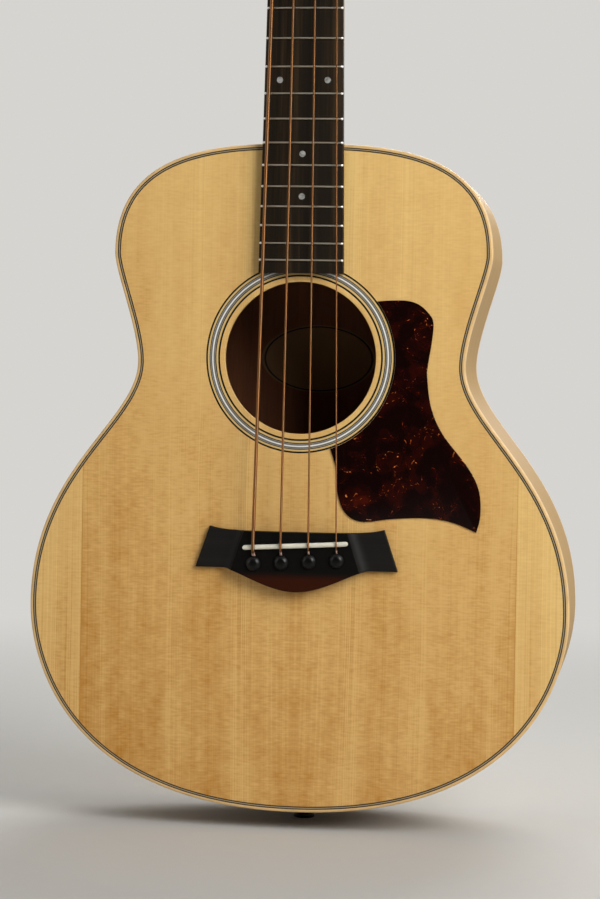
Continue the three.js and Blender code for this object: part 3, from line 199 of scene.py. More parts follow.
def layered(tree: Tree, place: Socket,
            layers: Sequence[tuple]) -> tuple[Node, list[Node]]:
  """Adds up layers of noise.

  Args:
    tree: The node tree.
    place: The coordinates, in metres.
    layers: For each layer its size along X, Y and Z in millimetres, its detail and its weight.

  Returns:
    The sum, whose middle is half the sum of the weights, and the noise of each layer.
  """
  total, noises = None, []
  for sizes, detail, weight in layers:
    scale = tuple(1 / (size * MM) for size in sizes)
    sized = put(tree, "VectorMath.MULTIPLY", place, scale)
    noise = put(tree, "TexNoise", Scale=1.0, Detail=detail, Vector=sized)
    total = put(tree, "Math.MULTIPLY_ADD", noise, weight, total or 0.0)
    noises.append(noise)
  return total, noises


@dataclass(frozen=True)
class Wood(Finish):
  """Planed or lacquered wood: long fibres with slow bands of tone."""

  pale: str = "#d8c49a"
  deep: str = "#b79a6c"
  grain: Grain = Grain.ALONG_NECK
  fibre_mm: float = 1.4
  band_mm: float = 16.0
  weights: tuple = (0.6, 0.4)  # of the bands and of the fibres
  contrast: float = 1.0
  spread: float = 0.3
  bump: float = 0.15

  def paint(self, tree: Tree) -> dict:
    """Sums bands and fibres along the grain into one tone.

    Args:
      tree: The material's node tree.

    Returns:
      What feeds the shader, by the name of the input.
    """
    source = put(tree, "TexCoord").outputs["UV" if self.grain is Grain.ALONG_UV else "Object"]
    layers = [(tuple(size * share for share in self.grain.value), 3.0, weight)
              for size, weight in zip((self.band_mm, self.fibre_mm), self.weights)]
    total, _ = layered(tree, source, layers)
    return self.toned(tree, total, 0.5, self.spread / self.contrast, total)

  def toned(self, tree: Tree, total: Node, middle: float, spread: float,
            height: Node) -> dict:
    """Colours a tone between deep and pale, and raises the surface a little by a height.

    Args:
      tree: The material's node tree.
      total: The tone.
      middle: The tone that gets the wood's main colour.
      spread: How far from the middle deep and pale lie.
      height: What raises the surface.

    Returns:
      What feeds the shader, by the name of the input.
    """
    tone = put(tree, "MapRange", From=(middle - spread, middle + spread), Value=total)
    ramp = put(tree, "ValToRGB", stops=[(0.0, self.deep), (0.5, self.colour), (1.0, self.pale)], Fac=tone)
    bump = put(tree, "Bump", Strength=self.bump, Distance=RELIEF, Height=height)
    return {"Base Color": ramp, "Normal": bump}


@dataclass(frozen=True)
class Spruce(Wood):
  """Quartersawn spruce: fine upright grain lines, stronger in some bands, slow bands of tone that mirror
  about the glued centre, and short silky flecks across the grain. Each layer has its size across and along
  the grain and its weight. Beyond a dark glue line at wing_mm the paler wing boards begin."""

  pale: str = "#e9c37b"
  deep: str = "#b67c2c"
  bands: tuple = (24.0, 1500.0, 0.48)
  rings: tuple = (0.8, 300.0, 0.24)  # a ring is about twice as wide as the noise that draws it
  silk: tuple = (6.5, 1.3, 0.38)
  clouds: tuple = (26.0, 120.0, 0.36)
  patches: tuple = (8.0, 12.0, 0.28)
  flat_mm: float = 1000.0
  strong_rings: float = 0.5
  strong_from: tuple = (0.54, 0.66)
  wing_mm: float = 147.0
  wing_tone: float = 0.2
  joint_mm: float = 0.35
  joint_tone: float = -0.22
  # Painted shade: the top is darkened towards the bass side and the tail, where the light falls off.
  painted_shade_fall: tuple = (0.36, 0.0, 0.78)  # tone lost towards the bass side and the tail in each metre
  painted_shade_middle_mm: float = 240.0
  sway_mm: tuple = (6.0, 1000 / 6)  # how far the lines sway, and how far apart
  spread: float = 0.36
  bump: float = 0.1

  def paint(self, tree: Tree) -> dict:
    """Sums all the layers, the glue line, the wings and the painted shade that darkens the top towards the
    bass side and the tail into one tone.

    Args:
      tree: The material's node tree.

    Returns:
      What feeds the shader, by the name of the input.
    """
    place = put(tree, "TexCoord").outputs["Object"]
    parts = put(tree, "SeparateXYZ", place).outputs
    mirrored = put(tree, "Math.ABSOLUTE", parts["X"])
    wing = put(tree, "Math.GREATER_THAN", mirrored, self.wing_mm * MM)
    other_board = put(tree, "Math.ADD", wing, mirrored)
    board = put(tree, "CombineXYZ", other_board, parts["Y"], parts["Z"])
    far, apart = (length * MM for length in self.sway_mm)
    bent = put(tree, "TexNoise", Scale=1 / apart, Detail=1.0, Vector=board)
    swayed = put(tree, "VectorMath.MULTIPLY_ADD", bent.outputs["Color"], (far, far, far), board)
    layers = [((across, self.flat_mm, along), 2.0, weight)
              for across, along, weight in (self.bands, self.rings, self.silk, self.clouds, self.patches)]
    total, (band_noise, ring_noise, *_) = layered(tree, swayed.outputs[0], layers)
    band = put(tree, "MapRange", From=self.strong_from, Value=band_noise)
    strong = put(tree, "Math.MAXIMUM", band, wing)
    ring = put(tree, "Math.MULTIPLY_ADD", ring_noise, self.strong_rings, -self.strong_rings / 2)
    total = put(tree, "Math.MULTIPLY_ADD", strong, ring, total)
    joint = put(tree, "Math.COMPARE", mirrored, self.wing_mm * MM, self.joint_mm * MM)
    for where, tone in ((joint, self.joint_tone), (wing, self.wing_tone)):
      total = put(tree, "Math.MULTIPLY_ADD", where, tone, total)
    # Painted shade: the tone falls towards the bass side and the tail, where less light reaches the top.
    lean = put(tree, "VectorMath.DOT_PRODUCT", place, self.painted_shade_fall)
    total = put(tree, "Math.ADD", lean.outputs["Value"], total)
    middle = sum(weight for _, _, weight in layers) / 2 + self.painted_shade_fall[2] * self.painted_shade_middle_mm * MM
    return self.toned(tree, total, middle, self.spread, ring_noise)


@dataclass(frozen=True)
class BridgeEbony(Wood):
  """Ebony whose edge towards the tail shows a brown streak, below streak_mm on the height axis."""

  streak: str = "#311002"
  streak_mm: float = 173.8
  blur_mm: float = 4.5
  wave_mm: tuple = (1.0, 1000 / 60)  # how far the streak's edge waves, and how far apart
  half_mm: tuple = (48.0, 33.6)  # where the streak starts from the side, and where it is full

  def paint(self, tree: Tree) -> dict:
    """Paints the ebony, then mixes the streak's colour in along the lower edge of the middle.

    Args:
      tree: The material's node tree.

    Returns:
      What feeds the shader, by the name of the input.
    """
    links = super().paint(tree)
    place = put(tree, "TexCoord").outputs["Object"]
    wave, apart = self.wave_mm
    wavy = put(tree, "TexNoise", Scale=1 / (apart * MM), Detail=2.0, Vector=place)
    parts = put(tree, "SeparateXYZ", place).outputs
    low = put(tree, "Math.MULTIPLY_ADD", wavy, wave * MM, parts["Z"])
    edge = (self.streak_mm + wave / 2) * MM
    below = put(tree, "MapRange", From=(edge, edge - self.blur_mm * MM), Value=low)
    aside = put(tree, "Math.ABSOLUTE", parts["X"])
    inside = put(tree, "MapRange", From=tuple(half * MM for half in self.half_mm), Value=aside)
    amount = put(tree, "Math.MULTIPLY", below, inside)
    mixed = put(tree, "Mix", {6: links["Base Color"], 7: linear(self.streak)}, data_type="RGBA",
                Factor=amount)
    return {**links, "Base Color": mixed.outputs[2]}


@dataclass(frozen=True)
class Inlay(Finish):
  """Lines of plain colour that follow an edge: each starts at its own distance from it."""

  start_mm: float = 0.0
  end_mm: float = 1.0
  lines: tuple = ()

  def distance(self, tree: Tree) -> Socket:
    """Returns the distance from the edge, which is the UV map's V."""
    return put(tree, "SeparateXYZ", put(tree, "TexCoord").outputs["UV"]).outputs["Y"]

  def paint(self, tree: Tree) -> dict:
    """Colours each point by the line that its distance lies in.

    Args:
      tree: The material's node tree.

    Returns:
      What feeds the shader, by the name of the input.
    """
    ends = (self.start_mm * MM, self.end_mm * MM)
    share = put(tree, "MapRange", From=ends, Value=self.distance(tree))
    width = self.end_mm - self.start_mm
    stops = [((start - self.start_mm) / width, colour) for start, colour in self.lines]
    return {"Base Color": put(tree, "ValToRGB", interpolation="CONSTANT", stops=stops, Fac=share)}


@dataclass(frozen=True)
class Rings(Inlay):
  """Inlaid or printed rings about a point in X and Z, round or, where the axes are scaled apart, oval."""

  centre_mm: tuple = (0.0, 0.0)
  scale: tuple = (1.0, 1.0)

  def distance(self, tree: Tree) -> Socket:
    """Measures the scaled distance from the middle of the rings.

    Args:
      tree: The material's node tree.

    Returns:
      The distance.
    """
    x, z = (middle * MM for middle in self.centre_mm)
    away = put(tree, "VectorMath.SUBTRACT", put(tree, "TexCoord").outputs["Object"], (x, 0, z))
    flat = put(tree, "VectorMath.MULTIPLY", away, (self.scale[0], 0, self.scale[1]))
    return put(tree, "VectorMath.LENGTH", flat).outputs["Value"]


@dataclass(frozen=True)
class Tortoise(Finish):
  """Tortoiseshell celluloid, polished: near-black brown with dark red clouds and small amber flecks."""

  stops: tuple = ((0.38, "#2c0703"), (0.6, "#5e1a08"), (0.82, "#ad5c22"), (1.0, "#dc9c54"))
  cloud_mm: float = 14.0
  fleck_mm: float = 4.4
  fleck_twist: float = 2.2
  swirl_mm: tuple = (20.0, 26.0)  # the size of the swirls, and how far they pull the pattern
  cloudy: tuple = (0.48, 0.74)
  cloud_tone: float = 0.44
  near: tuple = (0.45, 0.57)
  bright: tuple = (0.585, 0.715)

  def paint(self, tree: Tree) -> dict:
    """Pulls the coordinates into swirls, then raises the tone where a coarse noise is high, and to the
    brightest colours where a fine one is high too.

    Args:
      tree: The material's node tree.

    Returns:
      What feeds the shader, by the name of the input.
    """
    place = put(tree, "TexCoord").outputs["Object"]
    size, pull = (length * MM for length in self.swirl_mm)
    swirl = put(tree, "TexNoise", Scale=1 / size, Detail=2.0, Vector=place)
    pulled = put(tree, "VectorMath.MULTIPLY_ADD", swirl.outputs["Color"], (pull, pull, pull), place)
    clouds = put(tree, "TexNoise", Scale=1 / (self.cloud_mm * MM), Detail=4.0, Vector=pulled)
    flecks = put(tree, "TexNoise", Scale=1 / (self.fleck_mm * MM), Detail=3.0, Distortion=self.fleck_twist,
                 Vector=pulled)
    cloudy = put(tree, "MapRange", From=self.cloudy, To=(0, self.cloud_tone), Value=clouds)
    near = put(tree, "MapRange", From=self.near, Value=clouds)
    bright = put(tree, "MapRange", From=self.bright, Value=flecks)
    spots = put(tree, "Math.MULTIPLY", near, bright)
    tone = put(tree, "Math.MAXIMUM", cloudy, spots)
    return {"Base Color": put(tree, "ValToRGB", stops=[(0.0, self.colour), *self.stops], Fac=tone)}


@dataclass(frozen=True)
class Winding(Finish):
  """Wire or silk wound on a string: ridges round the string, at the wire's pitch along the UV map's U, with
  painted shade in the grooves between the turns.
  """

  pitch_mm: float = 0.45
  wave_units: float = 20.0  # the wave node multiplies its scale by this
  groove_shade_tones: tuple = (0.55, 1.2)
  bump: float = 0.35

  def paint(self, tree: Tree) -> dict:
    """Ridges the surface along the string and paints shade into the grooves between the turns.

    Args:
      tree: The material's node tree.

    Returns:
      What feeds the shader, by the name of the input.
    """
    scale = math.tau / self.wave_units / (self.pitch_mm * MM)
    wave = put(tree, "TexWave", bands_direction="X", Scale=scale,
               Vector=put(tree, "TexCoord").outputs["UV"]).outputs["Fac"]
    # Painted shade: the grooves between the turns are darker and the ridges lighter.
    tone = put(tree, "MapRange", To=self.groove_shade_tones, Value=wave)
    bump = put(tree, "Bump", Strength=self.bump, Distance=RELIEF, Height=wave)
    return {"Base Color": self.tinted(tree, tone), "Normal": bump}


# Finishes of this instrument

# Solid spruce, quartersawn, under thin satin lacquer: warm gold with fine upright lines and a soft sheen.
SPRUCE = Spruce("spruce_quartersawn_satin_lacquer", "spruce_top", "#d9ac67", roughness=0.42, coat=0.05,
                specular=0.35)
# Maple veneer, bent and lacquered: pale maple, even and faintly streaked along the side, here coloured darker
# than the back as painted shade on the sides.
MAPLE_SIDE_SHADED = Wood("maple_sides_satin_lacquer_painted_shade", "maple_body", "#a27e3e", roughness=0.5, pale="#af8b4b",
                  deep="#8b6930", grain=Grain.ALONG_UV, contrast=0.6, specular=0.3)
# The same on the arched back, which the light strikes full: paler, with upright streaks.
MAPLE_BACK = Wood("maple_back_satin_lacquer", "maple_body", "#c8a971", roughness=0.42, pale="#d5b883",
                  deep="#ae8c54", coat=0.15, contrast=0.7)
# The layered back and sides show a brown veneer on the inside, sanded and bare: dark and dull.
INNER_VENEER = Wood("brown_veneer_bare", "maple_body", "#73401f", roughness=0.75, pale="#88502b",
                    deep="#572e16")
# Solid maple, shaped and lacquered: pale, with long soft streaks and a sheen along the shaft.
MAPLE_NECK = Wood("maple_neck_satin_lacquer", "neck_wood", "#c3a06c", roughness=0.42, coat=0.15,
                  pale="#d0b07e", deep="#a88350", contrast=0.8)
# Binding that is scraped level with the wood, pale and close to the wood's own colour.
BINDING = Finish("cream_binding_scraped", "cream_binding", "#d8b278", roughness=0.38, coat=0.15)
# Three plies, levelled with the top: two dark hairlines with a wood line between them.
PURFLING = Inlay("black_white_purfling_levelled", "purfling", "#26221c", roughness=0.42, coat=0.1,
                 start_mm=2.0, end_mm=4.1, lines=((2.0, "#2e261d"), (2.75, "#a3906e"), (3.3, "#2e261d")))
# Celluloid sheet, polished: deep brown-black and smooth, with amber flecks under the surface.
TORTOISE = Tortoise("tortoiseshell_celluloid_polished", "tortoise_guard", "#110302", roughness=0.2,
                    specular=0.2)
# Ebony, planed and oiled: dark brown with browner streaks and little gloss.
EBONY = Wood("ebony_oiled", "ebony", "#1f170d", roughness=0.45, pale="#3d2e1c", deep="#0b0805", fibre_mm=1.2,
             band_mm=9.0, contrast=1.5, specular=0.2)
# The bridge's ebony is blacker, but for the brown sapwood at its belly.
BRIDGE_EBONY = BridgeEbony("ebony_oiled_streaked", "ebony", "#0b0907", roughness=0.5, pale="#13100c",
                           deep="#060504", grain=Grain.ACROSS, fibre_mm=1.0, band_mm=7.0, specular=0.1)
# The scooped wings are sanded, not polished: greyer, with the fibres showing.
BRIDGE_WING = Wood("ebony_oiled_sanded", "ebony", "#110e0b", roughness=0.6, pale="#1b1712", deep="#090706",
                   grain=Grain.ACROSS, fibre_mm=0.9, band_mm=5.0, specular=0.2)
# Moulded ABS: black with a clear highlight.
BLACK_PLASTIC = Finish("black_abs_polished", "black_plastic", "#070706", roughness=0.3, specular=0.25)
# A pressed composite for saddle and nut: warm white, smooth and slightly glossy.
BONE = Finish("white_composite_polished", "bone_white", "#dfdac8", roughness=0.32, coat=0.2)
# Planed spruce and sanded mahogany inside the body: bare and dull.
SPRUCE_BRACE = Wood("spruce_planed_bare", "brace_wood", "#c9a878", roughness=0.7, pale="#dcc092",
                    deep="#a98755")
BLOCK_WOOD = Wood("mahogany_sanded_bare", "block_wood", "#7d4f34", roughness=0.75, pale="#936243",
                  deep="#613a25")
# Drawn fret wire, polished: a bright pale line. The rounded ends get a near-white, half-metallic finish: a
# painted glint.
NICKEL_SILVER = Finish("nickel_silver_fretwire_polished", "ebony", "#e0d6c4", roughness=0.3, metallic=1.0)
FRET_END_GLINT = Finish("nickel_silver_fret_end_painted_glint", "ebony", "#f4f1ea", roughness=0.35, metallic=0.6)
# Shell, cut and levelled: grey with patches that differ from dot to dot.
PEARL = Finish("pearl_inlay_polished", "bone_white", "#9d9c98", roughness=0.25, coat=0.3, cloud_mm=2.0,
               unevenness=0.45)
# Plated and plain metals: mirror-like chrome, a duller steel rod, and a yellower plated wheel.
CHROME = Finish("chrome_plate_polished", "tuner_chrome", "#c4c4c6", roughness=0.12, metallic=1.0)
STEEL = Finish("steel_rod_plain", "rod_steel", "#8d8d8d", roughness=0.35, metallic=1.0)
BRASS_GEAR = Finish("gear_brass_nickel_plated", "tuner_chrome", "#bfb79c", roughness=0.25, metallic=1.0)
# Bronze wire wound on the core: copper-brown, ridged across.
BRONZE = Winding("phosphor_bronze_winding", "string_bronze", "#8f633e", roughness=0.32, metallic=1.0)
# Between the ball and the saddle a string is wrapped in pale silk.
SILK = Winding("silk_wrap_wound", "string_bronze", "#c9a596", roughness=0.6, pitch_mm=0.6)
# Matt paper, plain but for one thin oval line, in millimetres of an oval whose half sizes are 1.
LABEL_PAPER = Rings("label_paper_plain", "label_paper", "#84623d", roughness=0.8, lines=(
    (0.0, "#84623d"), (0.925, "#2b1a10"), (0.96, "#84623d")))
# Plies of dyed fibre round the soundhole, levelled with the top: crisp black, white, grey and wood rings.
BLACK, WHITE, GREY, DARK, WOOD = "#060403", "#f0f0ec", "#98948a", "#4c4840", "#d4b373"
ROSETTE = Rings("rosette_black_white_rings_levelled", "purfling", BLACK, roughness=0.45, specular=0.25,
                start_mm=54.3, end_mm=63.7, lines=(
                    (54.3, BLACK), (55.5, WOOD), (56.8, BLACK), (57.4, GREY), (57.85, DARK), (58.3, GREY),
                    (58.8, WHITE), (59.45, GREY), (59.9, DARK), (60.35, GREY), (60.8, BLACK), (61.35, WOOD),
                    (62.55, BLACK)))


# Surfaces


@dataclass
class Surface:
  """Closed skins in millimetres.

  Attributes:
    points: Corner places, one row each.
    quads: Four corner numbers to a face, anticlockwise from outside.
    caps: Corner numbers of each many-sided end face.
    uv: Metres along and across at each quad's corners.
    finishes: The finish number of each quad.
    cap_finishes: The finish number of each cap.
  """

  points: Array
  quads: Array
  caps: list
  uv: Array
  finishes: Array
  cap_finishes: list

  @classmethod
  def grid(cls, points: Array, wrap_rows: bool = False, capped: bool = False,
           along: Array | None = None, across: Array | None = None,
           finishes: Sequence[int] | None = None) -> "Surface":
    """Skins a grid whose rows are closed loops.

    Args:
      points: Rows by columns by three.
      wrap_rows: Whether the last row joins the first one.
      capped: Whether the first and last rows get an end face.
      along: Millimetres along the piece at each row, and once more at the end if rows wrap.
      across: Millimetres across the piece at each column and once more at the end.
      finishes: The finish number of each row of faces.

    Returns:
      The skin, with its faces turned outwards.
    """
    rows, columns = points.shape[:2]
    bands = rows if wrap_rows else rows - 1
    along = np.arange(bands + 1.0) if along is None else along
    across = np.arange(columns + 1.0) if across is None else across
    row, column = np.meshgrid(np.arange(bands), np.arange(columns), indexing="ij")
    corners = [(row, column), (row, column + 1), (row + 1, column + 1), (row + 1, column)]
    quads = np.stack([r % rows * columns + c % columns for r, c in corners], -1)
    uv = np.stack([np.stack([along[r], across[c]], -1) for r, c in corners], -2)
    first = list(range(columns - 1, -1, -1))
    last = [(rows - 1) * columns + k for k in range(columns)]
    chosen = np.zeros(bands, int) if finishes is None else np.asarray(finishes)
    made = cls(points.reshape(-1, 3).astype(float), quads.reshape(-1, 4), [first, last] if capped else [],
               uv.reshape(-1, 4, 2) * MM, np.repeat(chosen, columns),
               [int(chosen[0]), int(chosen[-1])] if capped else [])
    return made.turned_out()

  def volume(self) -> float:
    """Measures the signed volume: the sum of the tetrahedra from the origin to each face.

    Returns:
      The volume, which is below zero where the faces look inwards.
    """
    corners = self.points[self.quads]
    fans = [(corners[:, 0], corners[:, 1], corners[:, 2]), (corners[:, 0], corners[:, 2], corners[:, 3])]
    for cap in self.caps:
      ring = self.points[cap]
      fans.append((np.repeat(ring[:1], len(ring) - 2, 0), ring[1:-1], ring[2:]))
    return float(sum(np.einsum("ij,ij->", a, np.cross(b, c)) for a, b, c in fans)) / 6

  def turned_out(self) -> "Surface":
    """Returns the skin with its faces outwards, turned over where they looked inwards."""
    if self.volume() >= 0:
      return self
    return Surface(self.points, self.quads[:, ::-1], [cap[::-1] for cap in self.caps], self.uv[:, ::-1],
                   self.finishes, self.cap_finishes)

  def placed(self, matrix: Array) -> "Surface":
    """Returns the skin moved by a matrix of four by four, its faces still outwards."""
    moved = self.points @ matrix[:3, :3].T + matrix[:3, 3]
    return Surface(moved, self.quads, self.caps, self.uv, self.finishes, self.cap_finishes).turned_out()

  @staticmethod
  def joined(parts: Sequence["Surface"]) -> "Surface":
    """Puts skins together.

    Args:
      parts: The skins.

    Returns:
      One surface that holds them all.
    """
    starts = np.cumsum([0] + [len(part.points) for part in parts])
    return Surface(
        np.concatenate([part.points for part in parts]),
        np.concatenate([part.quads + start for part, start in zip(parts, starts)]),
        [[corner + int(start) for corner in cap] for part, start in zip(parts, starts) for cap in part.caps],
        np.concatenate([part.uv for part in parts]),
        np.concatenate([part.finishes for part in parts]),
        [number for part in parts for number in part.cap_finishes],
    )

  def mesh(self, name: str, finishes: Sequence[Finish]) -> bpy.types.Object:
    """Makes an object of the skin: joins corners that coincide and keeps hard edges hard.

    Args:
      name: The object's name.
      finishes: The finishes that the faces' numbers choose from.

    Returns:
      The object, linked to the scene.
    """
    data = bpy.data.meshes.new(name)
    data.from_pydata((self.points * MM).tolist(), [], [*self.quads.tolist(), *self.caps])
    layer = data.uv_layers.new(name="UVMap")
    uv = np.concatenate([self.uv.reshape(-1, 2), np.zeros((sum(map(len, self.caps)), 2))])
    layer.data.foreach_set("uv", uv.astype(np.float32).ravel())
    for finish in finishes:
      data.materials.append(finish.material())
    numbers = np.concatenate([self.finishes, np.array(self.cap_finishes, int)]).astype(np.int32)
    data.polygons.foreach_set("material_index", numbers)
    work = bmesh.new()
    work.from_mesh(data)
    bmesh.ops.remove_doubles(work, verts=work.verts, dist=WELD)
    work.to_mesh(data)
    work.free()
    data.shade_smooth()
    data.set_sharp_from_angle(angle=math.radians(SHARP_DEGREES))
    made = bpy.data.objects.new(name, data)
    bpy.context.scene.collection.objects.link(made)
    return made

  def build(self, name: str, finishes: Sequence[Finish], nodes: Sequence[str] = (), body: str = ROOT,
            slot: str = "", cutter: "Surface | None" = None) -> None:
    """Makes the skin an object, cuts it and dresses it.

    Args:
      name: The object's name.
      finishes: The finishes that the faces' numbers choose from.
      nodes: The nodes that it replaces.
      body: The body that it rides on.
      slot: Not used.
      cutter: What is taken out of it.
    """
    piece = self.mesh(name, finishes)
    if cutter:
      cut(piece, cutter)
    dress(piece, nodes, body)


def dress(piece: bpy.types.Object, nodes: Sequence[str] = (), body: str = ROOT) -> None:
  """Lets a piece ride on a body and hides the nodes that it stands for.

  Args:
    piece: The object.
    nodes: The nodes that it replaces.
    body: The body's name.
  """
  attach(piece, body)
  if nodes:
    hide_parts(*nodes)
  log.info("%s: %d faces, rides on %s", piece.name, len(piece.data.polygons), body)


def cut(piece: bpy.types.Object, cutter: Surface) -> None:
  """Takes a closed cutter out of a piece.

  Args:
    piece: The object that is cut.
    cutter: Closed skins in millimetres that don't cross each other.
  """
  tool = cutter.mesh(piece.name + "_cutter", [])
  modifier = piece.modifiers.new("cut", "BOOLEAN")
  modifier.object = tool
  modifier.solver = "EXACT"
  modifier.use_self = True
  shown = piece.evaluated_get(bpy.context.evaluated_depsgraph_get())
  result = bpy.data.meshes.new_from_object(shown)
  piece.modifiers.clear()
  piece.data = result
  bpy.data.objects.remove(tool)
  result.set_sharp_from_angle(angle=math.radians(SHARP_DEGREES))


def space(x: Array | float, y: Array | float, z: Array | float) -> Array:
  """Returns points from their three places, each an array or one number for all."""
  return np.stack(np.broadcast_arrays(x, y, z), -1)


def circle(count: int) -> Array:
  """Returns angles at even steps round a full turn, without the end."""
  return np.linspace(0, math.tau, count, endpoint=False)


def rounding(radius: float, count: int) -> list[tuple[float, float]]:
  """Returns pairs of inset and depth round a quarter circle, from a face to a side."""
  angle = np.linspace(0, math.pi / 2, count)
  return [(radius * (1 - math.sin(a)), radius * (1 - math.cos(a))) for a in angle]


def bezier(points: Sequence, count: int) -> Array:
  """Samples a quadratic or cubic Bezier curve: the sum of its points times their Bernstein weights.

  Args:
    points: Three or four points, one row each.
    count: How many points to return.

  Returns:
    The sampled points, ends included.
  """
  points = np.array(points, float)
  t = np.linspace(0, 1, count)[:, None]
  n = len(points) - 1
  return sum(math.comb(n, k) * (1 - t) ** (n - k) * t ** k * points[k] for k in range(n + 1))


def spline(points: Array, steps: int) -> Array:
  """Samples the smooth curve through points whose slope at each is half the step from its neighbours.

  Args:
    points: The points, one row each.
    steps: Steps between two points.

  Returns:
    The sampled points, ends included.
  """
  padded = np.concatenate([points[:1], points, points[-1:]])
  a, b, c, d = (padded[k:len(points) - 1 + k, None, :] for k in range(4))
  t = (np.arange(steps) / steps)[None, :, None]
  start, end = (c - a) / 2, (d - b) / 2
  curve = (2 * b - 2 * c + start + end) * t ** 3 + (3 * c - 3 * b - 2 * start - end) * t ** 2 + start * t + b
  return np.concatenate([curve.reshape(-1, points.shape[1]), points[-1:]])


def filleted(corners: Sequence[tuple[float, float, float]], steps: int = 4) -> Array:
  """Rounds the corners of an open profile, each with a bend that starts its own length before the corner.

  Args:
    corners: Two places and the bend's length, which is 0 for a hard corner.
    steps: Points in a bend, less one.

  Returns:
    The profile's points.
  """
  places = np.array([corner[:2] for corner in corners], float)
  out = [places[:1]]
  for before, corner, after, (_, _, bend) in zip(places, places[1:], places[2:], corners[1:]):
    out.append(bezier(bent(before, corner, after, bend), steps + 1) if bend else corner[None])
  return np.concatenate([*out, places[-1:]])


def bent(before: Array, corner: Array, after: Array, bend: float) -> Array:
  """Finds the three Bezier points of a corner's bend.

  Args:
    before: The point before the corner.
    corner: The corner.
    after: The point after the corner.
    bend: How far from the corner the bend starts and ends.

  Returns:
    The bend's start, the corner and the bend's end.
  """
  start, end = (corner + (far - corner) * bend / np.linalg.norm(far - corner) for far in (before, after))
  return np.array([start, corner, end])


def turned(profile: Array, sides: int = 48) -> Surface:
  """Turns a profile about Y: (radius cos a, place, radius sin a) for a full turn of a.

  Args:
    profile: Radius and place, one row each.
    sides: Steps in the turn.

  Returns:
    The skin.
  """
  angle = circle(sides)
  radius, place = profile[:, :1], profile[:, 1:2]
  return Surface.grid(space(radius * np.cos(angle), place, radius * np.sin(angle)))


def tube(path: Array, radius: float, sides: int, level: Array = ACROSS,
         finishes: Sequence[int] | None = None) -> Surface:
  """Carries a circle along a path, level with a direction that never lies along the path.

  Args:
    path: The path's points.
    radius: The circle's radius.
    sides: Its sides.
    level: One direction, or one for each point.
    finishes: The finish number of each stretch between two points.

  Returns:
    The capped tube.
  """
  way = np.gradient(path, axis=0)
  way /= np.linalg.norm(way, axis=1, keepdims=True)
  side = np.cross(way, np.broadcast_to(level, path.shape))
  side /= np.linalg.norm(side, axis=1, keepdims=True)
  up = np.cross(side, way)
  angle = circle(sides)[None, :, None]
  points = path[:, None] + radius * (np.cos(angle) * side[:, None] + np.sin(angle) * up[:, None])
  along = np.concatenate([[0], np.cumsum(np.linalg.norm(np.diff(path, axis=0), axis=1))])
  around = np.linspace(0, math.tau * radius, sides + 1)
  return Surface.grid(points, capped=True, along=along, across=around, finishes=finishes)


def inwards(outline: Array) -> Array:
  """Returns the direction to the left of a closed outline's way at each point: inwards if anticlockwise."""
  way = np.roll(outline, -1, 0) - np.roll(outline, 1, 0)
  return np.stack([-way[:, 1], way[:, 0]], -1) / np.linalg.norm(way, axis=1, keepdims=True)


def slab(outline: Array, front: float, back: float, edge: float = 0.4, both: bool = False) -> Surface:
  """A flat piece with rounded rims: its outline in X and Z, drawn in by the rounding at each face.

  Args:
    outline: The closed outline's points in X and Z.
    front: The front face's Y.
    back: The back face's Y.
    edge: The rounding's radius.
    both: Whether the back rim is rounded too.

  Returns:
    The capped skin.
  """
  inward = inwards(outline)
  x, z = outline.T
  if np.sum(x * np.roll(z, -1) - z * np.roll(x, -1)) < 0:
    inward = -inward
  step = math.copysign(1.0, back - front)
  quarter = rounding(edge, 5)
  rows = [(inset, front + step * deep) for inset, deep in quarter]
  rows += [(inset, back - step * deep) for inset, deep in quarter[::-1]] if both else [(0.0, back)]
  return Surface.grid(np.stack([space(x + inset * inward[:, 0], y, z + inset * inward[:, 1])
                                for inset, y in rows]), capped=True)


def shift(x: float = 0.0, y: float = 0.0, z: float = 0.0) -> Array:
  """Returns the matrix that moves by x, y and z."""
  return np.array([[1, 0, 0, x], [0, 1, 0, y], [0, 0, 1, z], [0, 0, 0, 1]], float)


def stretch(x: float = 1.0, y: float = 1.0, z: float = 1.0) -> Array:
  """Returns the matrix that scales by x, y and z."""
  return np.diag([x, y, z, 1.0])


def spin(axis: str, degrees: float) -> Array:
  """Returns the matrix that turns about an axis."""
  return np.array(Matrix.Rotation(math.radians(degrees), 4, axis))


@dataclass(frozen=True)
class Screw:
  """A round-headed screw that faces -Y, with a cross recess. Shares are of its radius."""

  radius: float
  seat: float = 0.2
  rise_share: float = 0.45
  fall_share: float = 0.85
  slot_share: float = 0.16
  cross_share: float = 0.62
  recess_share: float = 0.22

  def skin(self) -> Surface:
    """The head's dome, which falls by the square of the radius and sinks near two lines at right angles.

    Returns:
      The skin, its seat at Y = 0.
    """
    rings = np.linspace(0, 1, 14)[:, None]
    angle = circle(64)[None]
    x, z = rings * self.radius * np.cos(angle), rings * self.radius * np.sin(angle)
    dome = self.radius * self.rise_share * np.sqrt(np.clip(1 - self.fall_share * rings ** 2, 0, 1))
    near = np.minimum(np.abs(x), np.abs(z)) < self.slot_share * self.radius
    inside = np.maximum(np.abs(x), np.abs(z)) < self.cross_share * self.radius
    lift = dome - np.where(near & inside, self.recess_share * self.radius, 0)
    face = space(x, -lift, z)
    seat = space(x[-1:], self.seat, z[-1:])
    return Surface.grid(np.concatenate([face, seat, seat * [0, 1, 0]]))


# The body


